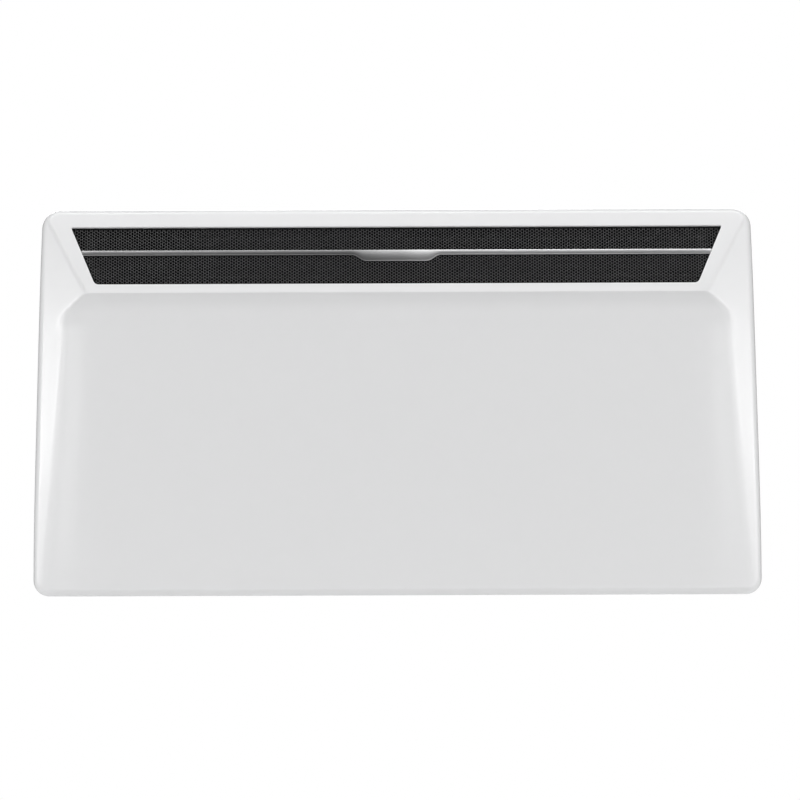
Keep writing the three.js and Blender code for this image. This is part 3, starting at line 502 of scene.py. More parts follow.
def cut_intake(casing):
    """The window in the underside that leaves the grille's flange covered."""
    low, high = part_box("intake_grille")
    flange, play = 4 * MM, 0.3 * MM
    outline = window(low.x, low.y, high.x, high.y, inset=flange - play, radius=4 * MM)
    rings = [
        [Vector((p.x, p.y, BASE_Z - out)) for p in grown(outline, growth)]
        for out, growth in cutter_levels(inside=6 * MM, outside=3 * MM, radius=0.6 * MM)
    ]
    combine(casing, loft("cutter", rings), "DIFFERENCE")


def casing_lip():
    """The return flange behind the casing's edge that the rear panel is screwed to."""
    from_corner, width, overlap = 40 * MM, 11 * MM, SHEET * 0.8
    back, front = 14.2 * MM, 15.2 * MM
    side = [(float(casing_half(z)), z) for z in np.linspace(from_corner, HEIGHT - from_corner, 16)]
    outline = rounded_outline([
        (-BOTTOM_HALF, 0, BOTTOM_RADIUS), (BOTTOM_HALF, 0, BOTTOM_RADIUS), *side,
        (TOP_HALF, HEIGHT, TOP_RADIUS), (-TOP_HALF, HEIGHT, TOP_RADIUS),
        *[(-x, z) for x, z in reversed(side)],
    ])
    outer, inner = grown(outline, -overlap), grown(outline, -width)
    rings = [
        [(p.x, -depth, p.y + BASE_Z) for p in points]
        for points, depth in ((outer, back), (inner, back), (inner, front), (outer, front))
    ]
    return band("lip", rings)


def build_casing():
    """The whole front pressing, with its openings and its return flange."""
    casing = casing_shell()
    cut_outlet(casing)
    cut_niche(casing)
    cut_intake(casing)
    join(casing, casing_lip())
    shade(casing, 32)
    weighted = casing.modifiers.new("weighted", "WEIGHTED_NORMAL")
    weighted.keep_sharp = True
    return casing


# ---- outlet mesh ----
MESH_COLUMN = 2.76 * MM
MESH_ROW = 3.58 * MM
MESH_OVERHANG = 0.6
MESH_WEB = 0.46 * MM
MESH_CROSS_WEB = 0.36 * MM
MESH_FRONT = -RIM_DEPTH - 0.35 * MM
MESH_THICKNESS = 1.2 * MM
WEB_SLOPE = 0.075 * MM


def hexagon(radius_x, radius_y):
    return [
        (radius_x * math.cos(math.radians(60 * k)), radius_y * math.sin(math.radians(60 * k)))
        for k in range(6)
    ]


def mesh_cells():
    """Centres of the honeycomb's cells that show in the opening or reach under its border."""
    low, high = facet_up(OUTLET_LOW), facet_up(OUTLET_HIGH)
    reach = int(OUTLET_HIGH_HALF / MESH_COLUMN) + 2
    rows = int((high - low) / MESH_ROW) + 3
    cells = []
    for i in range(-reach, reach + 1):
        for j in range(-1, rows):
            up = low + (j + (0.5 if i % 2 else 0)) * MESH_ROW
            if low - MESH_OVERHANG * MESH_ROW < up < high + MESH_OVERHANG * MESH_ROW:
                if abs(i * MESH_COLUMN) < outlet_half(up) + MESH_OVERHANG * MESH_COLUMN:
                    cells.append((i * MESH_COLUMN, up))
    return cells


def rim_walls(faces, known):
    """Faces that close the honeycomb's outer border from its front to its back.

    known gives each vertex's number by its place in mm on the facet."""
    front, back = round(MESH_FRONT / MM, 2), round((MESH_FRONT - MESH_THICKNESS) / MM, 2)
    keys = {number: key for key, number in known.items()}
    seen = {}
    for face in faces:
        for a, b in zip(face, face[1:] + face[:1]):
            if keys[a][2] == front and keys[b][2] == front:
                seen.setdefault(frozenset((a, b)), []).append((a, b))
    walls = []
    for found in seen.values():
        if len(found) == 1:
            a, b = found[0]
            back_a, back_b = (known[(*keys[c][:2], back)] for c in (a, b))
            walls.append((b, a, back_a, back_b))
    return walls


def build_outlet_mesh():
    """Honeycomb with roof-shaped webs: a cell's rim is the web's ridge, its hole is cut lower.

    Faces that look out of the facet take the first material, the walls of the holes the second, a darker
    copy of it that is painted shade."""
    radius_x = MESH_COLUMN / 1.5
    radius_y = MESH_ROW / math.sqrt(3)
    rim = hexagon(radius_x, radius_y)
    hole = hexagon(radius_x * (1 - MESH_WEB / MESH_ROW), radius_y * (1 - MESH_CROSS_WEB / MESH_ROW))
    levels = [
        (rim, MESH_FRONT), (hole, MESH_FRONT - WEB_SLOPE),
        (hole, MESH_FRONT - MESH_THICKNESS), (rim, MESH_FRONT - MESH_THICKNESS),
    ]
    vertices, faces, known = [], [], {}

    def vertex(x, y, out):
        key = (round(x / MM, 2), round(y / MM, 2), round(out / MM, 2))
        if key not in known:
            known[key] = len(vertices)
            vertices.append(FACET @ Vector((x, y, out)))
        return known[key]

    for centre_x, centre_y in mesh_cells():
        loops = [[vertex(centre_x + x, centre_y + y, out) for x, y in ring] for ring, out in levels]
        for near, far in zip(loops, loops[1:]):
            for k in range(6):
                ahead = (k + 1) % 6
                faces.append((near[k], near[ahead], far[ahead], far[k]))
    faces += rim_walls(faces, known)
    honeycomb = new_object("outlet_honeycomb", vertices, faces)
    out_of_facet = FACET.to_3x3().col[2]
    looks_out = 0.7
    for face in honeycomb.data.polygons:
        face.material_index = 0 if abs(face.normal.dot(out_of_facet)) > looks_out else 1
    return honeycomb


def build_mesh_border():
    """Flat frame round the honeycomb, clamped behind the opening's rim."""
    outline = outlet_outline()
    outer, inner = grown(outline, 5 * MM), grown(outline, -1.9 * MM)
    proud = 0.1 * MM
    front, back = MESH_FRONT + proud, MESH_FRONT - MESH_THICKNESS - proud
    corners = ((outer, front), (inner, front), (inner, back), (outer, back))
    return band("outlet_mesh_border", [on_facet(points, out) for points, out in corners])


# ---- trim bar with its plain centre plate ----
BAR_LOW, BAR_HIGH = 388.6 * MM, 394 * MM
PLATE_LOW = 381.8 * MM
PLATE_LOW_HALF, PLATE_HIGH_HALF = 36.5 * MM, 49 * MM
PLATE_ROUNDING = 2 * MM
BAR_FRONT, BAR_BACK = -0.45 * MM, -3.2 * MM
BAR_LEAN = 0.10
BAR_PLAY = 0.4 * MM
# how far the bar's rounded edges fall back, as (distance in from the edge, fall) in mm
BAR_LOW_EDGE = ((0, 0.95), (0.12, 0.7), (0.7, 0.12), (0.9, 0.03), (1.1, 0))
BAR_HIGH_EDGE = ((0.6, 0), (0.35, 0.05), (0.1, 0.25), (0, 0.5))


def bar_bottom(x):
    """Lower edge of the bar at x: straight, with a slanted step down round the plate."""
    share = smooth_step(np.abs(x), PLATE_LOW_HALF - PLATE_ROUNDING, PLATE_HIGH_HALF + PLATE_ROUNDING)
    return facet_up(PLATE_LOW) + share * (facet_up(BAR_LOW) - facet_up(PLATE_LOW))


def build_trim_bar():
    """The bar and its plate as one pressing that leans forward and ends along the opening's slant."""
    high, low_end = facet_up(BAR_HIGH), facet_up(BAR_LOW)
    end = outlet_half(low_end) - BAR_PLAY
    slant = (outlet_half(high) - outlet_half(low_end)) / (high - low_end)
    slant_from = 0.9 * end
    middle = np.linspace(0, PLATE_HIGH_HALF + 3 * MM, 40)
    plain = np.linspace(PLATE_HIGH_HALF + 4 * MM, end, 24)
    half = [*middle, *plain]
    rings = []
    for x in [-x for x in reversed(half[1:])] + half:
        low = float(bar_bottom(x))
        edges = [(low + near * MM, fall) for near, fall in BAR_LOW_EDGE]
        edges += [(high - near * MM, fall) for near, fall in BAR_HIGH_EDGE]
        front = [(up, BAR_FRONT - fall * MM - BAR_LEAN * (high - up)) for up, fall in edges]
        lean = slant * smooth_step(abs(x), slant_from, end) * math.copysign(1, x)
        section = [(low, BAR_BACK), *front, (high, BAR_BACK)]
        rings.append([FACET @ Vector((x + lean * (up - low_end), up, out)) for up, out in section])
    return loft("trim_bar", rings, smooth_angle=40)


# ---- screws, bumpers and gland on the back; their profiles are in mm ----
SCREW_HEAD = 1.4 * MM
# the two levels of a recess arm: how far along the screw, half its length and half its width, in mm
RECESS_FLOOR, RECESS_MOUTH = (0.35, 0.9, 0.32), (1.6, 1.75, 0.42)


def build_screw(name, place):
    """Pan head with a cross recess; the head stands behind the panel."""
    x, y, z = place
    head = rounded_profile([
        (-6.9, 0.2, 0), (-6.0, 1.8, 0), (0, 1.8, 0), (0, 3.95, 0.3), (1.35, 2.9, 0.9), (1.38, 0.1, 0),
    ])
    body = lathe(name, place, "y", in_metres(head), steps=32)
    for turn in (0, math.pi / 2):
        rings = []
        for along, long, wide in (RECESS_FLOOR, RECESS_MOUTH):
            corners = [(-long, -wide), (long, -wide), (long, wide), (-long, wide)]
            ring = []
            for u, v in corners:
                spot = Matrix.Rotation(turn, 2) @ Vector((u, v)) * MM
                ring.append(Vector((x + spot.x, y + along * MM, z + spot.y)))
            rings.append(ring)
        combine(body, loft("recess", rings), "DIFFERENCE")
    shade(body, 35)
    return body


def build_bumper(name, x, z):
    """Rubber foot with a stem that is pushed through the rear panel."""
    front, panel = -17.9, -13.2
    profile = rounded_profile([
        (front, 0.3, 0), (front, 2.9, 0.6), (-14.3, 5.5, 0.4), (-14.2, 4.0, 0), (panel, 4.0, 0),
        (-12.7, 9.95, 0.4), (-0.05, 9.95, 2.2), (-0.05, 5.2, 0.3), (-0.9, 4.6, 0.2), (-0.9, 0.3, 0),
    ])
    return lathe(name, (x, 0, z), "y", in_metres(profile), steps=48)


def build_gland(name, low, high):
    """Flexible cord gland with ribs and an open bore, drawn in the box from low to high."""
    x, _, z = middle_of(low, high)
    front, back, bore = low.y / MM, high.y / MM, 3.65
    outer = [
        (front + 0.05, 6.9, 0.4), (-14.15, 8.8, 0.3), (-14.1, 6.9, 0), (-12.7, 6.9, 0),
        (-12.6, 9.9, 0.4),
    ]
    ribs = [
        (-12.0, 9.4, 0.1), (-11.7, 8.9, 0.1), (-11.3, 9.3, 0.1), (-10.9, 8.6, 0.1),
        (-10.5, 8.9, 0.1), (-10.1, 8.2, 0.1), (back - 0.4, 8.4, 0.3),
    ]
    inner = [(back - 0.05, 4.1, 0.4), (back - 1.2, bore, 0), (front + 0.05, bore, 0)]
    profile = rounded_profile([*outer, *ribs, *inner], steps=3)
    turns = [2 * math.pi * k / 48 for k in range(48)]
    rings = [
        [(x + radius * math.cos(turn), along, z + radius * math.sin(turn)) for turn in turns]
        for along, radius in in_metres(profile)
    ]
    return band(name, rings, smooth_angle=40)


# ---- controls in the niche; (across, up, out) count from a control's place on the module's face ----
FACE_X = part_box("module_face")[1].x
KNOB_LOW, KNOB_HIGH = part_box("thermostat_knob")
KNOB_Y, KNOB_Z = middle_of(KNOB_LOW, KNOB_HIGH)[1:]
KNOB = (KNOB_LOW.x, KNOB_Y, KNOB_Z)
ROCKER_LOW, ROCKER_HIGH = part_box("rocker")
ROCKER_Y, ROCKER_Z = middle_of(ROCKER_LOW, ROCKER_HIGH)[1:]
ROCKER_PIVOT = (ROCKER_HIGH.x - 8.4 * MM, ROCKER_Y, ROCKER_Z)


def from_face(origin, across, up, out):
    """A point given in mm from origin, seen from the right side: across towards the wall."""
    return Vector(origin) + Vector((out, across, up)) * MM


def rounded_slab(name, origin, outline, levels):
    """Outline in mm lofted through (out, growth) levels."""
    points = [Vector(p) for p in outline]
    rings = [
        [from_face(origin, p.x, p.y, out) for p in grown(points, growth)] for out, growth in levels
    ]
    return loft(name, rings, smooth_angle=40)


def build_knob():
    """Fluted grip with a raised pointer across it."""
    grip = rounded_profile([
        (0, 0.3, 0), (0, 17.4, 0.3), (1.9, 17.4, 0.6), (2.0, 15.9, 0.3), (9.9, 15.6, 1.5),
        (9.7, 12.5, 0.8), (9.3, 0.3, 0),
    ])
    flutes_from, flutes_to, flutes_outside = 2.2, 9.6, 14
    profile = []
    for along, radius in grip:
        fluted = flutes_from < along < flutes_to and radius > flutes_outside
        profile.append((along * MM, radius * MM, 1.0 if fluted else 0))
    knob = lathe("thermostat_knob_grip", KNOB, "x", profile, steps=216, flutes=36, flute_depth=0.8 * MM)
    ridge = rounded_outline([(-2, -14.2, 1.9), (2, -14.2, 1.9), (2, 14.2, 1.9), (-2, 14.2, 1.9)])
    levels = [(8.8, 0.35), (9.6, 0.2), (12.0, 0), (12.6, -0.15), (12.9, -0.5), (12.95, -0.9)]
    pointer = rounded_slab("pointer", KNOB, ridge, levels)
    join(knob, pointer)
    shade(knob, 40)
    return knob


def build_knob_line():
    """The pale line on the pointer."""
    outline = rounded_outline([(-0.45, 4, 0.4), (0.45, 4, 0.4), (0.45, 12.6, 0.4), (-0.45, 12.6, 0.4)])
    return rounded_slab("thermostat_knob_line", KNOB, outline, [(12.7, 0), (12.99, 0)])


def figure_mesh(text, height):
    """Thin mesh of a figure, centred on its own origin."""
    curve = bpy.data.curves.new("figure", "FONT")
    curve.body = text
    curve.size = height
    curve.align_x = "CENTER"
    curve.align_y = "CENTER"
    curve.extrude = 0.04 * MM
    curve.resolution_u = 4
    obj = bpy.data.objects.new("figure", curve)
    bpy.context.scene.collection.objects.link(obj)
    graph = bpy.context.evaluated_depsgraph_get()
    mesh = bpy.data.meshes.new_from_object(obj.evaluated_get(graph))
    bpy.data.objects.remove(obj)
    return mesh


def build_dial_marks():
    """Figures 0 to 6 printed on the module's face round the knob; 6 is on top."""
    radius, height, lift = 19.6, 3.1 * MM, 0.05
    work = bmesh.new()
    stand = Matrix.Rotation(math.pi / 2, 4, "Z") @ Matrix.Rotation(math.pi / 2, 4, "X")
    for i in range(7):
        angle = math.radians(-45 * i)
        mesh = figure_mesh(str(i), height)
        across, up = radius * math.cos(angle), radius * math.sin(angle)
        spot = from_face((FACE_X, KNOB_Y, KNOB_Z), across, up, lift)
        mesh.transform(Matrix.Translation(spot) @ stand)
        work.from_mesh(mesh)
    mesh = bpy.data.meshes.new("dial_marks")
    work.to_mesh(mesh)
    work.free()
    obj = bpy.data.objects.new("dial_marks", mesh)
    bpy.context.scene.collection.objects.link(obj)
    return obj


def rocker_top(up):
    """How far the rocker's dished top stands out from its pivot, at up from its middle, in mm."""
    middle, rise, reach, power = 6.3, 2.0, 11.7, 1.7
    return middle + rise * (abs(up) / reach) ** power


def build_rocker():
    """Rocker with a dished top and a foot below it, short enough to clear its housing at full tip."""
    half_wide, ends, end_drop = 6.55, 11.4, 0.35
    under = [(12.05, 1.5), (3, -3.9), (-3, -3.9), (-12.05, 1.5)]
    steps = 24
    tops = [-ends + 2 * ends * i / steps for i in range(steps + 1)]
    rings = []
    for wide, drop in ((half_wide, 0.5), (half_wide - 0.12, 0.18), (half_wide - 0.5, 0)):
        ring = [(u, rocker_top(u) - drop - (end_drop if abs(u) > ends - 0.1 else 0)) for u in tops]
        rings.append((wide, [*under, *ring]))
    path = [(-w, r) for w, r in rings] + [(w, r) for w, r in reversed(rings)]
    x, y, z = ROCKER_PIVOT
    lofted = [
        [Vector((x + out * MM, y + wide * MM, z + up * MM)) for up, out in ring] for wide, ring in path
    ]
    return loft("rocker_key", lofted, smooth_angle=35)


def print_on_rocker(name, outline, hole=None):
    """A thin print on the rocker's top, from (across, up) points; with a hole, a closed band."""
    x, y, z = ROCKER_PIVOT
    sunk, raised = -0.05, 0.04

    def at(points, lift):
        return [
            Vector((x + (rocker_top(up) + lift) * MM, y + across * MM, z + up * MM))
            for across, up in points
        ]
    if hole is None:
        return loft(name, [at(outline, sunk), at(outline, raised)])
    return band(name, [at(outline, sunk), at(outline, raised), at(hole, raised), at(hole, sunk)])


def build_rocker_signs():
    """The line and the ring that mark on and off, above and below the rocker's middle."""
    rise, half_wide, half_long = 7.2, 0.4, 1.9
    bar = window(-half_wide, rise - half_long, half_wide, rise + half_long, inset=0, radius=0.2)
    turns = np.linspace(0, 2 * math.pi, 33)[:-1]
    ring, hole = (
        [(radius * math.cos(turn), radius * math.sin(turn) - rise) for turn in turns]
        for radius in (1.75, 1.15)
    )
    signs = print_on_rocker("rocker_signs", [(p.x, p.y) for p in bar])
    join(signs, print_on_rocker("ring", ring, hole))
    return signs


def build_pilot():
    """Domed lens over a stem in the module's face."""
    low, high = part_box("pilot_lens")
    centre = (low.x, *middle_of(low, high)[1:])
    tall = (high.x - low.x) / MM
    profile = rounded_profile([
        (0.1, 0.2, 0), (0.1, 2.95, 0.2), (tall - 1.4, 2.95, 0), (tall - 1.4, 3.9, 0.2),
        (tall - 0.8, 3.7, 0.5), (tall - 0.1, 1.8, 0.8), (tall - 0.03, 0.2, 0),
    ])
    return lathe("pilot_lens_dome", centre, "x", in_metres(profile), steps=48)


# bevel width, in mm, of the CAD nodes that show as they are
BEVELS = {
    "wall_bracket": 0.45, "module_face": 0.35, "rocker_housing": 0.35, "module_case": 0.4,
    "module_bay": 0.25, "intake_grille": 0.3, "terminal_block": 0.3, "element_bracket_left": 0.2,
    "element_bracket_right": 0.2, "bay_socket": 0.3, "module_plug": 0.3, "thermostat_body": 0.5,
    "heating_fins": 0.18, "vane_rack_left": 0.2, "vane_rack_right": 0.2,
}


def soften_frame():
    """Rounds the edges of kept CAD nodes."""
    for name, width in BEVELS.items():
        bevel = frame["nodes"][name].modifiers.new("edge", "BEVEL")
        bevel.width = width * MM
        bevel.segments = 2
        bevel.limit_method = "ANGLE"
        bevel.angle_limit = math.radians(40)
        bevel.harden_normals = True


# ---- materials ----
def node_material(name):
    material = bpy.data.materials.new(name)
    material.use_nodes = True
    nodes, links = material.node_tree.nodes, material.node_tree.links
    return material, nodes, links, nodes["Principled BSDF"]


def add_noise(nodes, links, scale, detail=3.0, stretch=None):
    """Noise in object coordinates, in turns per metre; stretch scales its axes."""
    place = nodes.new("ShaderNodeTexCoord")
    noise = nodes.new("ShaderNodeTexNoise")
    noise.inputs["Scale"].default_value = scale
    noise.inputs["Detail"].default_value = detail
    source = place.outputs["Object"]
    if stretch:
        mapping = nodes.new("ShaderNodeMapping")
        mapping.inputs["Scale"].default_value = stretch
        links.new(source, mapping.inputs["Vector"])
        source = mapping.outputs["Vector"]
    links.new(source, noise.inputs["Vector"])
    return noise


CLOUD_SIZE = 12
BUMP_HEIGHT = 0.2 * MM
COAT_ROUGHNESS = 0.08


def finish_material(name, colour, roughness, metallic=0.0, tint=0.03, grain=300.0, bump=0.0,
                    rough_spread=0.05, stretch=None, coat=0.0, specular=0.5):
    """A surface with a fine bump; its colour and roughness wander a little, CLOUD_SIZE times as wide."""
    material, nodes, links, shader = node_material(name)
    shader.inputs["Metallic"].default_value = metallic
    shader.inputs["Specular IOR Level"].default_value = specular
    shader.inputs["Coat Weight"].default_value = coat
    shader.inputs["Coat Roughness"].default_value = COAT_ROUGHNESS
    cloud = add_noise(nodes, links, grain / CLOUD_SIZE, 2.0, stretch)
    ramp = nodes.new("ShaderNodeMapRange")
    ramp.inputs["To Min"].default_value = roughness - rough_spread
    ramp.inputs["To Max"].default_value = roughness + rough_spread
    links.new(cloud.outputs["Fac"], ramp.inputs["Value"])
    links.new(ramp.outputs["Result"], shader.inputs["Roughness"])
    mix = nodes.new("ShaderNodeMix")
    mix.data_type = "RGBA"
    mix.inputs["A"].default_value = (*[c * (1 - tint) for c in colour], 1)
    mix.inputs["B"].default_value = (*[min(c * (1 + tint), 1) for c in colour], 1)
    links.new(cloud.outputs["Fac"], mix.inputs["Factor"])
    links.new(mix.outputs["Result"], shader.inputs["Base Color"])
    if bump:
        fine = add_noise(nodes, links, grain, 4.0, stretch)
        relief = nodes.new("ShaderNodeBump")
        relief.inputs["Strength"].default_value = bump
        relief.inputs["Distance"].default_value = BUMP_HEIGHT
        links.new(fine.outputs["Fac"], relief.inputs["Height"])
        links.new(relief.outputs["Normal"], shader.inputs["Normal"])
    return material


def spangle(material):
    """Adds the crystal pattern of hot-dip zinc to a finished material's colour and roughness."""
    nodes, links = material.node_tree.nodes, material.node_tree.links
    shader = nodes["Principled BSDF"]
    place = nodes.new("ShaderNodeTexCoord")
    crystals = nodes.new("ShaderNodeTexVoronoi")
    crystals.inputs["Scale"].default_value = 130
    links.new(place.outputs["Object"], crystals.inputs["Vector"])
    for socket, low, high in (("Base Color", 0.67, 0.73), ("Roughness", 0.40, 0.46)):
        spread = nodes.new("ShaderNodeMapRange")
        spread.inputs["To Min"].default_value = low
        spread.inputs["To Max"].default_value = high
        links.new(crystals.outputs["Color"], spread.inputs["Value"])
        links.new(spread.outputs["Result"], shader.inputs[socket])


def grade_along(material, stops):
    """Paints a reflection into the base colour, which changes along x; stops are (x, grey)."""
    nodes, links = material.node_tree.nodes, material.node_tree.links
    place = nodes.new("ShaderNodeTexCoord")
    split = nodes.new("ShaderNodeSeparateXYZ")
    links.new(place.outputs["Object"], split.inputs["Vector"])
    share = nodes.new("ShaderNodeMapRange")
    share.inputs["From Min"].default_value = stops[0][0]
    share.inputs["From Max"].default_value = stops[-1][0]
    links.new(split.outputs["X"], share.inputs["Value"])
    ramp = nodes.new("ShaderNodeValToRGB")
    ramp.color_ramp.interpolation = "EASE"
    span = stops[-1][0] - stops[0][0]
    for i, (x, grey) in enumerate(stops):
        elements = ramp.color_ramp.elements
        element = elements[i] if i < 2 else elements.new(1.0)
        element.position = (x - stops[0][0]) / span
        element.color = (grey, grey, grey * 1.01, 1)
    links.new(share.outputs["Result"], ramp.inputs["Fac"])
    links.new(ramp.outputs["Color"], nodes["Principled BSDF"].inputs["Base Color"])


# what finish_material is given for each slot of the CAD, and besides for print and for a darker copy of
# black steel that is painted shade
SURFACES = {
    "white_enamel": dict(colour=(0.80, 0.802, 0.808), roughness=0.23, tint=0.006, grain=700, bump=0.03,
                         rough_spread=0.02, coat=0.25),
    "zinc_steel": dict(colour=(0.70, 0.71, 0.72), roughness=0.42, metallic=0.75, grain=420, bump=0.06),
    "screw_steel": dict(colour=(0.55, 0.56, 0.57), roughness=0.35, metallic=0.95, tint=0.06, grain=900,
                        bump=0.1),
    "raw_aluminium": dict(colour=(0.68, 0.69, 0.70), roughness=0.38, metallic=0.95, tint=0.05,
                          grain=500, bump=0.1, stretch=(1, 20, 20)),
    "black_steel": dict(colour=(0.08, 0.08, 0.082), roughness=0.30, tint=0.15, grain=2500, bump=0.02,
                        specular=1.0),
    # a darker, duller copy of black_steel: painted shade on the hole walls, the mesh border and the
    # black steel inside
    "shaded_black_steel": dict(colour=(0.004, 0.004, 0.0045), roughness=0.7, tint=0.2, grain=900, bump=0.1,
                         specular=0.2),
    "black_plastic": dict(colour=(0.03, 0.03, 0.033), roughness=0.45, tint=0.12, grain=2200, bump=0.15),
    "grey_plastic": dict(colour=(0.085, 0.088, 0.095), roughness=0.5, tint=0.08, grain=2000, bump=0.2),
    "silver_trim": dict(colour=(0.55, 0.555, 0.56), roughness=0.33, metallic=1.0, grain=900,
                        stretch=(0.05, 1, 1)),
    "ceramic": dict(colour=(0.76, 0.72, 0.64), roughness=0.6, tint=0.05, grain=1200, bump=0.15),
    "print": dict(colour=(0.75, 0.75, 0.74), roughness=0.5, tint=0.03, grain=1500, bump=0.05),
    "rubber": dict(colour=(0.03, 0.03, 0.032), roughness=0.75, tint=0.15, grain=1500, bump=0.25),
    "brass": dict(colour=(0.70, 0.52, 0.24), roughness=0.32, metallic=1.0, tint=0.06, grain=700,
                  bump=0.08),
    "red_lens": dict(colour=(0.55, 0.03, 0.02), roughness=0.12, tint=0.1, grain=600, coat=0.6),
    "wire_brown": dict(colour=(0.12, 0.05, 0.025), roughness=0.5, tint=0.1, grain=1500, bump=0.1),
    "wire_blue": dict(colour=(0.03, 0.08, 0.30), roughness=0.5, tint=0.1, grain=1500, bump=0.1),
    "wire_green": dict(colour=(0.10, 0.28, 0.04), roughness=0.5, tint=0.1, grain=1500, bump=0.1),
}
# painted reflection on the trim bar: greys along x, darker to the left and brighter to the right
TRIM_PAINTED_REFLECTION = [(-0.36, 0.38), (-0.06, 0.26), (0.0, 0.46), (0.03, 0.62), (0.36, 0.6)]


def make_materials():
    materials = {name: finish_material(name, **surface) for name, surface in SURFACES.items()}
    spangle(materials["zinc_steel"])
    # the trim bar's colour along x is a painted reflection
    grade_along(materials["silver_trim"], TRIM_PAINTED_REFLECTION)
    return materials


def dress(obj, material):
    obj.data.materials.clear()
    obj.data.materials.append(material)


# ---- stage, light and camera ----
def build_floor():
    """Pale floor that is clear from below, so that the underside can be seen."""
    depth_back, depth_front, half = 1.15, 1.9, 2.2
    z = BASE_Z - FLOOR_DROP
    front_edge = [(-half, -depth_front, z), (half, -depth_front, z)]
    back_edge = [(half, depth_back, z), (-half, depth_back, z)]
    floor = new_object("floor", front_edge + back_edge, [(0, 1, 2, 3)], closed=False)
    material, nodes, links, shader = node_material("floor")
    shader.inputs["Roughness"].default_value = 0.8
    under = nodes.new("ShaderNodeNewGeometry")
    clear = nodes.new("ShaderNodeBsdfTransparent")
    side = nodes.new("ShaderNodeMixShader")
    links.new(under.outputs["Backfacing"], side.inputs[0])
    links.new(shader.outputs["BSDF"], side.inputs[1])
    links.new(clear.outputs["BSDF"], side.inputs[2])
    links.new(side.outputs["Shader"], nodes["Material Output"].inputs["Surface"])
    speckle = add_noise(nodes, links, 6.0)
    mix = nodes.new("ShaderNodeMix")
    mix.data_type = "RGBA"
    mix.inputs["A"].default_value = (0.88, 0.88, 0.88, 1)
    mix.inputs["B"].default_value = (0.9, 0.9, 0.9, 1)
    links.new(speckle.outputs["Fac"], mix.inputs["Factor"])
    links.new(mix.outputs["Result"], shader.inputs["Base Color"])
    dress(floor, material)


def build_world():
    """Faint even light; the camera sees plain white."""
    world = bpy.data.worlds.new("studio")
    bpy.context.scene.world = world
    world.use_nodes = True
    nodes, links = world.node_tree.nodes, world.node_tree.links
    light = nodes["Background"]
    light.inputs["Color"].default_value = (1, 1, 1, 1)
    light.inputs["Strength"].default_value = 0.02
    white = nodes.new("ShaderNodeBackground")
    white.inputs["Color"].default_value = (1, 1, 1, 1)
    white.inputs["Strength"].default_value = 1.0
    path = nodes.new("ShaderNodeLightPath")
    mix = nodes.new("ShaderNodeMixShader")
    links.new(path.outputs["Is Camera Ray"], mix.inputs[0])
    links.new(light.outputs["Background"], mix.inputs[1])
    links.new(white.outputs["Background"], mix.inputs[2])
    links.new(mix.outputs["Shader"], nodes["World Output"].inputs["Surface"])


def add_lamp(name, place, target, size, power):
    lamp = bpy.data.lights.new(name, "AREA")
    lamp.shape = "RECTANGLE"
    lamp.size, lamp.size_y = size
    lamp.energy = power
    obj = bpy.data.objects.new(name, lamp)
    obj.location = place
    obj.rotation_euler = (Vector(target) - Vector(place)).to_track_quat("-Z", "Y").to_euler()
    bpy.context.scene.collection.objects.link(obj)


# name: (place, width and height, watts); all of them face the heater at LAMP_TARGET
LAMP_TARGET = (0, -0.1, -0.08)
LAMPS = {
    "top_front": ((0, -2.0, 2.7), (3.2, 1.2), 56.8),
    "top_over": ((0, -0.3, 2.8), (3.2, 1.2), 20.5),
    "left_low": ((-2.9, -1.5, -0.02), (2.0, 0.3), 10.6),
    "left_down": ((-2.9, -1.5, -0.32), (2.0, 0.6), 10.5),
    "left_flat": ((-3.2, -0.3, 0.3), (2.4, 1.8), 13.0),
    "left_front": ((-3.0, -3.4, 0.3), (1.2, 1.4), 13.3),
    "left_mid": ((-2.1, -3.5, 0.0), (0.6, 1.2), 3.6),
    "left_strip": ((-1.25, -3.35, -0.05), (0.45, 1.1), 3.1),
    "right_low": ((2.9, -1.5, -0.02), (2.0, 0.3), 8.6),
    "right_down": ((2.9, -1.5, -0.32), (2.0, 0.6), 8.3),
    "right_high": ((2.9, -1.5, 1.2), (1.6, 1.4), 10.4),
    "right_flat": ((3.2, -0.3, 0.3), (2.4, 1.8), 11.3),
    "right_front": ((3.0, -3.4, 0.3), (1.2, 1.4), 13.0),
    "right_mid": ((2.1, -3.5, 0.0), (0.6, 1.2), 3.4),
    "right_strip": ((1.25, -3.35, -0.05), (0.45, 1.1), 2.2),
    "behind": ((0, 2.8, 1.7), (3.0, 2.2), 65),
}


def build_lights():
    for name, (place, size, power) in LAMPS.items():
        add_lamp(name, place, LAMP_TARGET, size, power)


def build_camera():
    """Looks straight at the front from the photograph's distance, in its frame."""
    half_frame = PHOTO_SIDE / 2
    x = (half_frame - PHOTO_CENTRE_X) * MM_PER_PIXEL * MM
    z = BASE_Z + (PHOTO_BASE_Y - half_frame) * MM_PER_PIXEL * MM
    data = bpy.data.cameras.new("camera")
    data.sensor_width = SENSOR
    data.lens = SENSOR * (CAMERA_DISTANCE - OUTLINE_DEPTH) / (PHOTO_SIDE * MM_PER_PIXEL * MM)
    camera = bpy.data.objects.new("camera", data)
    camera.location = (x, -CAMERA_DISTANCE, z)
    camera.rotation_euler = (math.pi / 2, PHOTO_ROLL, 0)
    bpy.context.scene.collection.objects.link(camera)
    bpy.context.scene.camera = camera


# the CAD nodes that a finished piece stands in for
replaced_nodes = set()


def settle(piece, body, slot, material, *nodes):
    """Puts a finished piece on its body, in its material and in place of the CAD nodes named."""
    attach(piece, body)
    if nodes:
        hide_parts(*nodes)
        replaced_nodes.update(nodes)
    dress(piece, material)


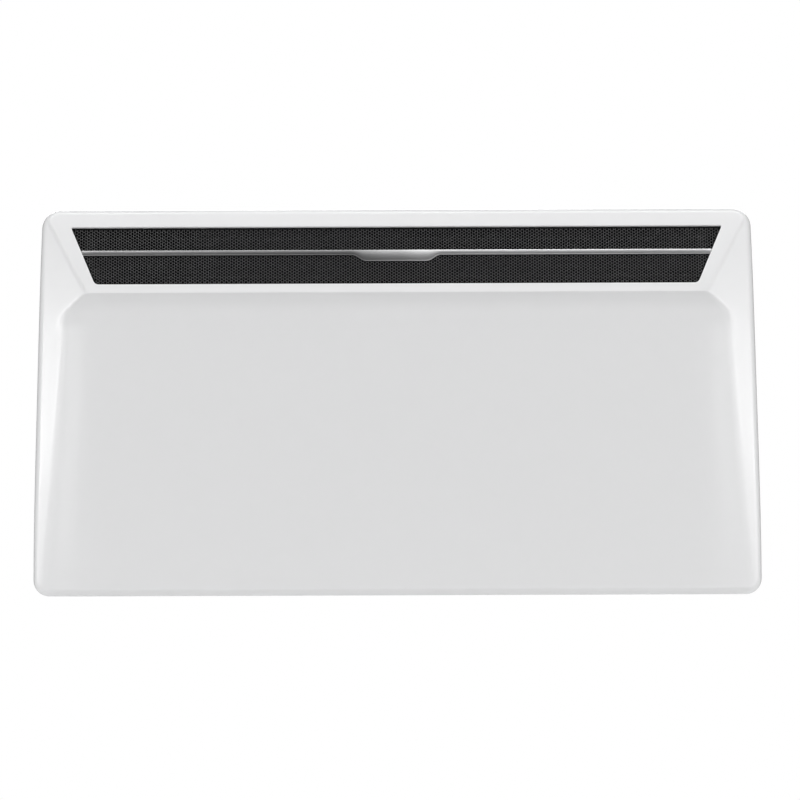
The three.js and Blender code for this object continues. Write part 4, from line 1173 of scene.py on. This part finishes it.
def dress_frame(materials):
    """Gives each CAD node that still shows its slot's material; black steel inside the heater takes the
    darker copy instead, painted shade.
    """
    slots = {part["node"]: part["material_slot"] for part in frame["record"]["subparts"]}
    for name, obj in frame["nodes"].items():
        if name not in replaced_nodes:
            # black steel parts inside the heater take the darker copy: painted shade
            look = "shaded_black_steel" if slots[name] == "black_steel" else slots[name]
            for place in obj.material_slots:
                place.material = materials[look]


def settle_front(materials):
    settle(build_casing(), "heater", "white_enamel", materials["white_enamel"], "front_housing")
    honeycomb = build_outlet_mesh()
    settle(honeycomb, "heater", "black_steel", materials["black_steel"], "outlet_mesh")
    # the walls of the holes take the darker copy of black steel: painted shade
    honeycomb.data.materials.append(materials["shaded_black_steel"])
    # the border behind the rim takes the darker copy too: painted shade
    settle(build_mesh_border(), "heater", "black_steel", materials["shaded_black_steel"])
    settle(build_trim_bar(), "heater", "silver_trim", materials["silver_trim"], "outlet_trim_bar")


def settle_controls(materials):
    settle(build_knob(), "thermostat", "black_plastic", materials["black_plastic"], "thermostat_knob")
    settle(build_knob_line(), "thermostat", "white_enamel", materials["print"])
    settle(build_dial_marks(), "module", "white_enamel", materials["print"])
    settle(build_rocker(), "power_rocker", "black_plastic", materials["black_plastic"], "rocker")
    settle(build_rocker_signs(), "power_rocker", "white_enamel", materials["print"])
    settle(build_pilot(), "module", "red_lens", materials["red_lens"], "pilot_lens")


def settle_back(materials):
    for i in range(1, 7):
        node = f"rear_panel_screw_{i}"
        low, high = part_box(node)
        x, _, z = middle_of(low, high)
        screw = build_screw(f"panel_screw_{i}", (x, high.y - SCREW_HEAD, z))
        settle(screw, "heater", "screw_steel", materials["screw_steel"], node)
    for side in ("left", "right"):
        node = f"wall_bumper_{side}"
        low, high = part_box(node)
        x, _, z = middle_of(low, high)
        settle(build_bumper(f"bumper_{side}", x, z), "heater", "rubber", materials["rubber"], node)
    low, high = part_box("cord_gland")
    settle(build_gland("gland", low, high), "heater", "rubber", materials["rubber"], "cord_gland")


def main():
    bpy.context.scene.view_settings.view_transform = "Standard"
    build_camera()
    build_world()
    build_lights()
    build_floor()
    materials = make_materials()
    settle_front(materials)
    settle_controls(materials)
    settle_back(materials)
    soften_frame()
    dress_frame(materials)


main()
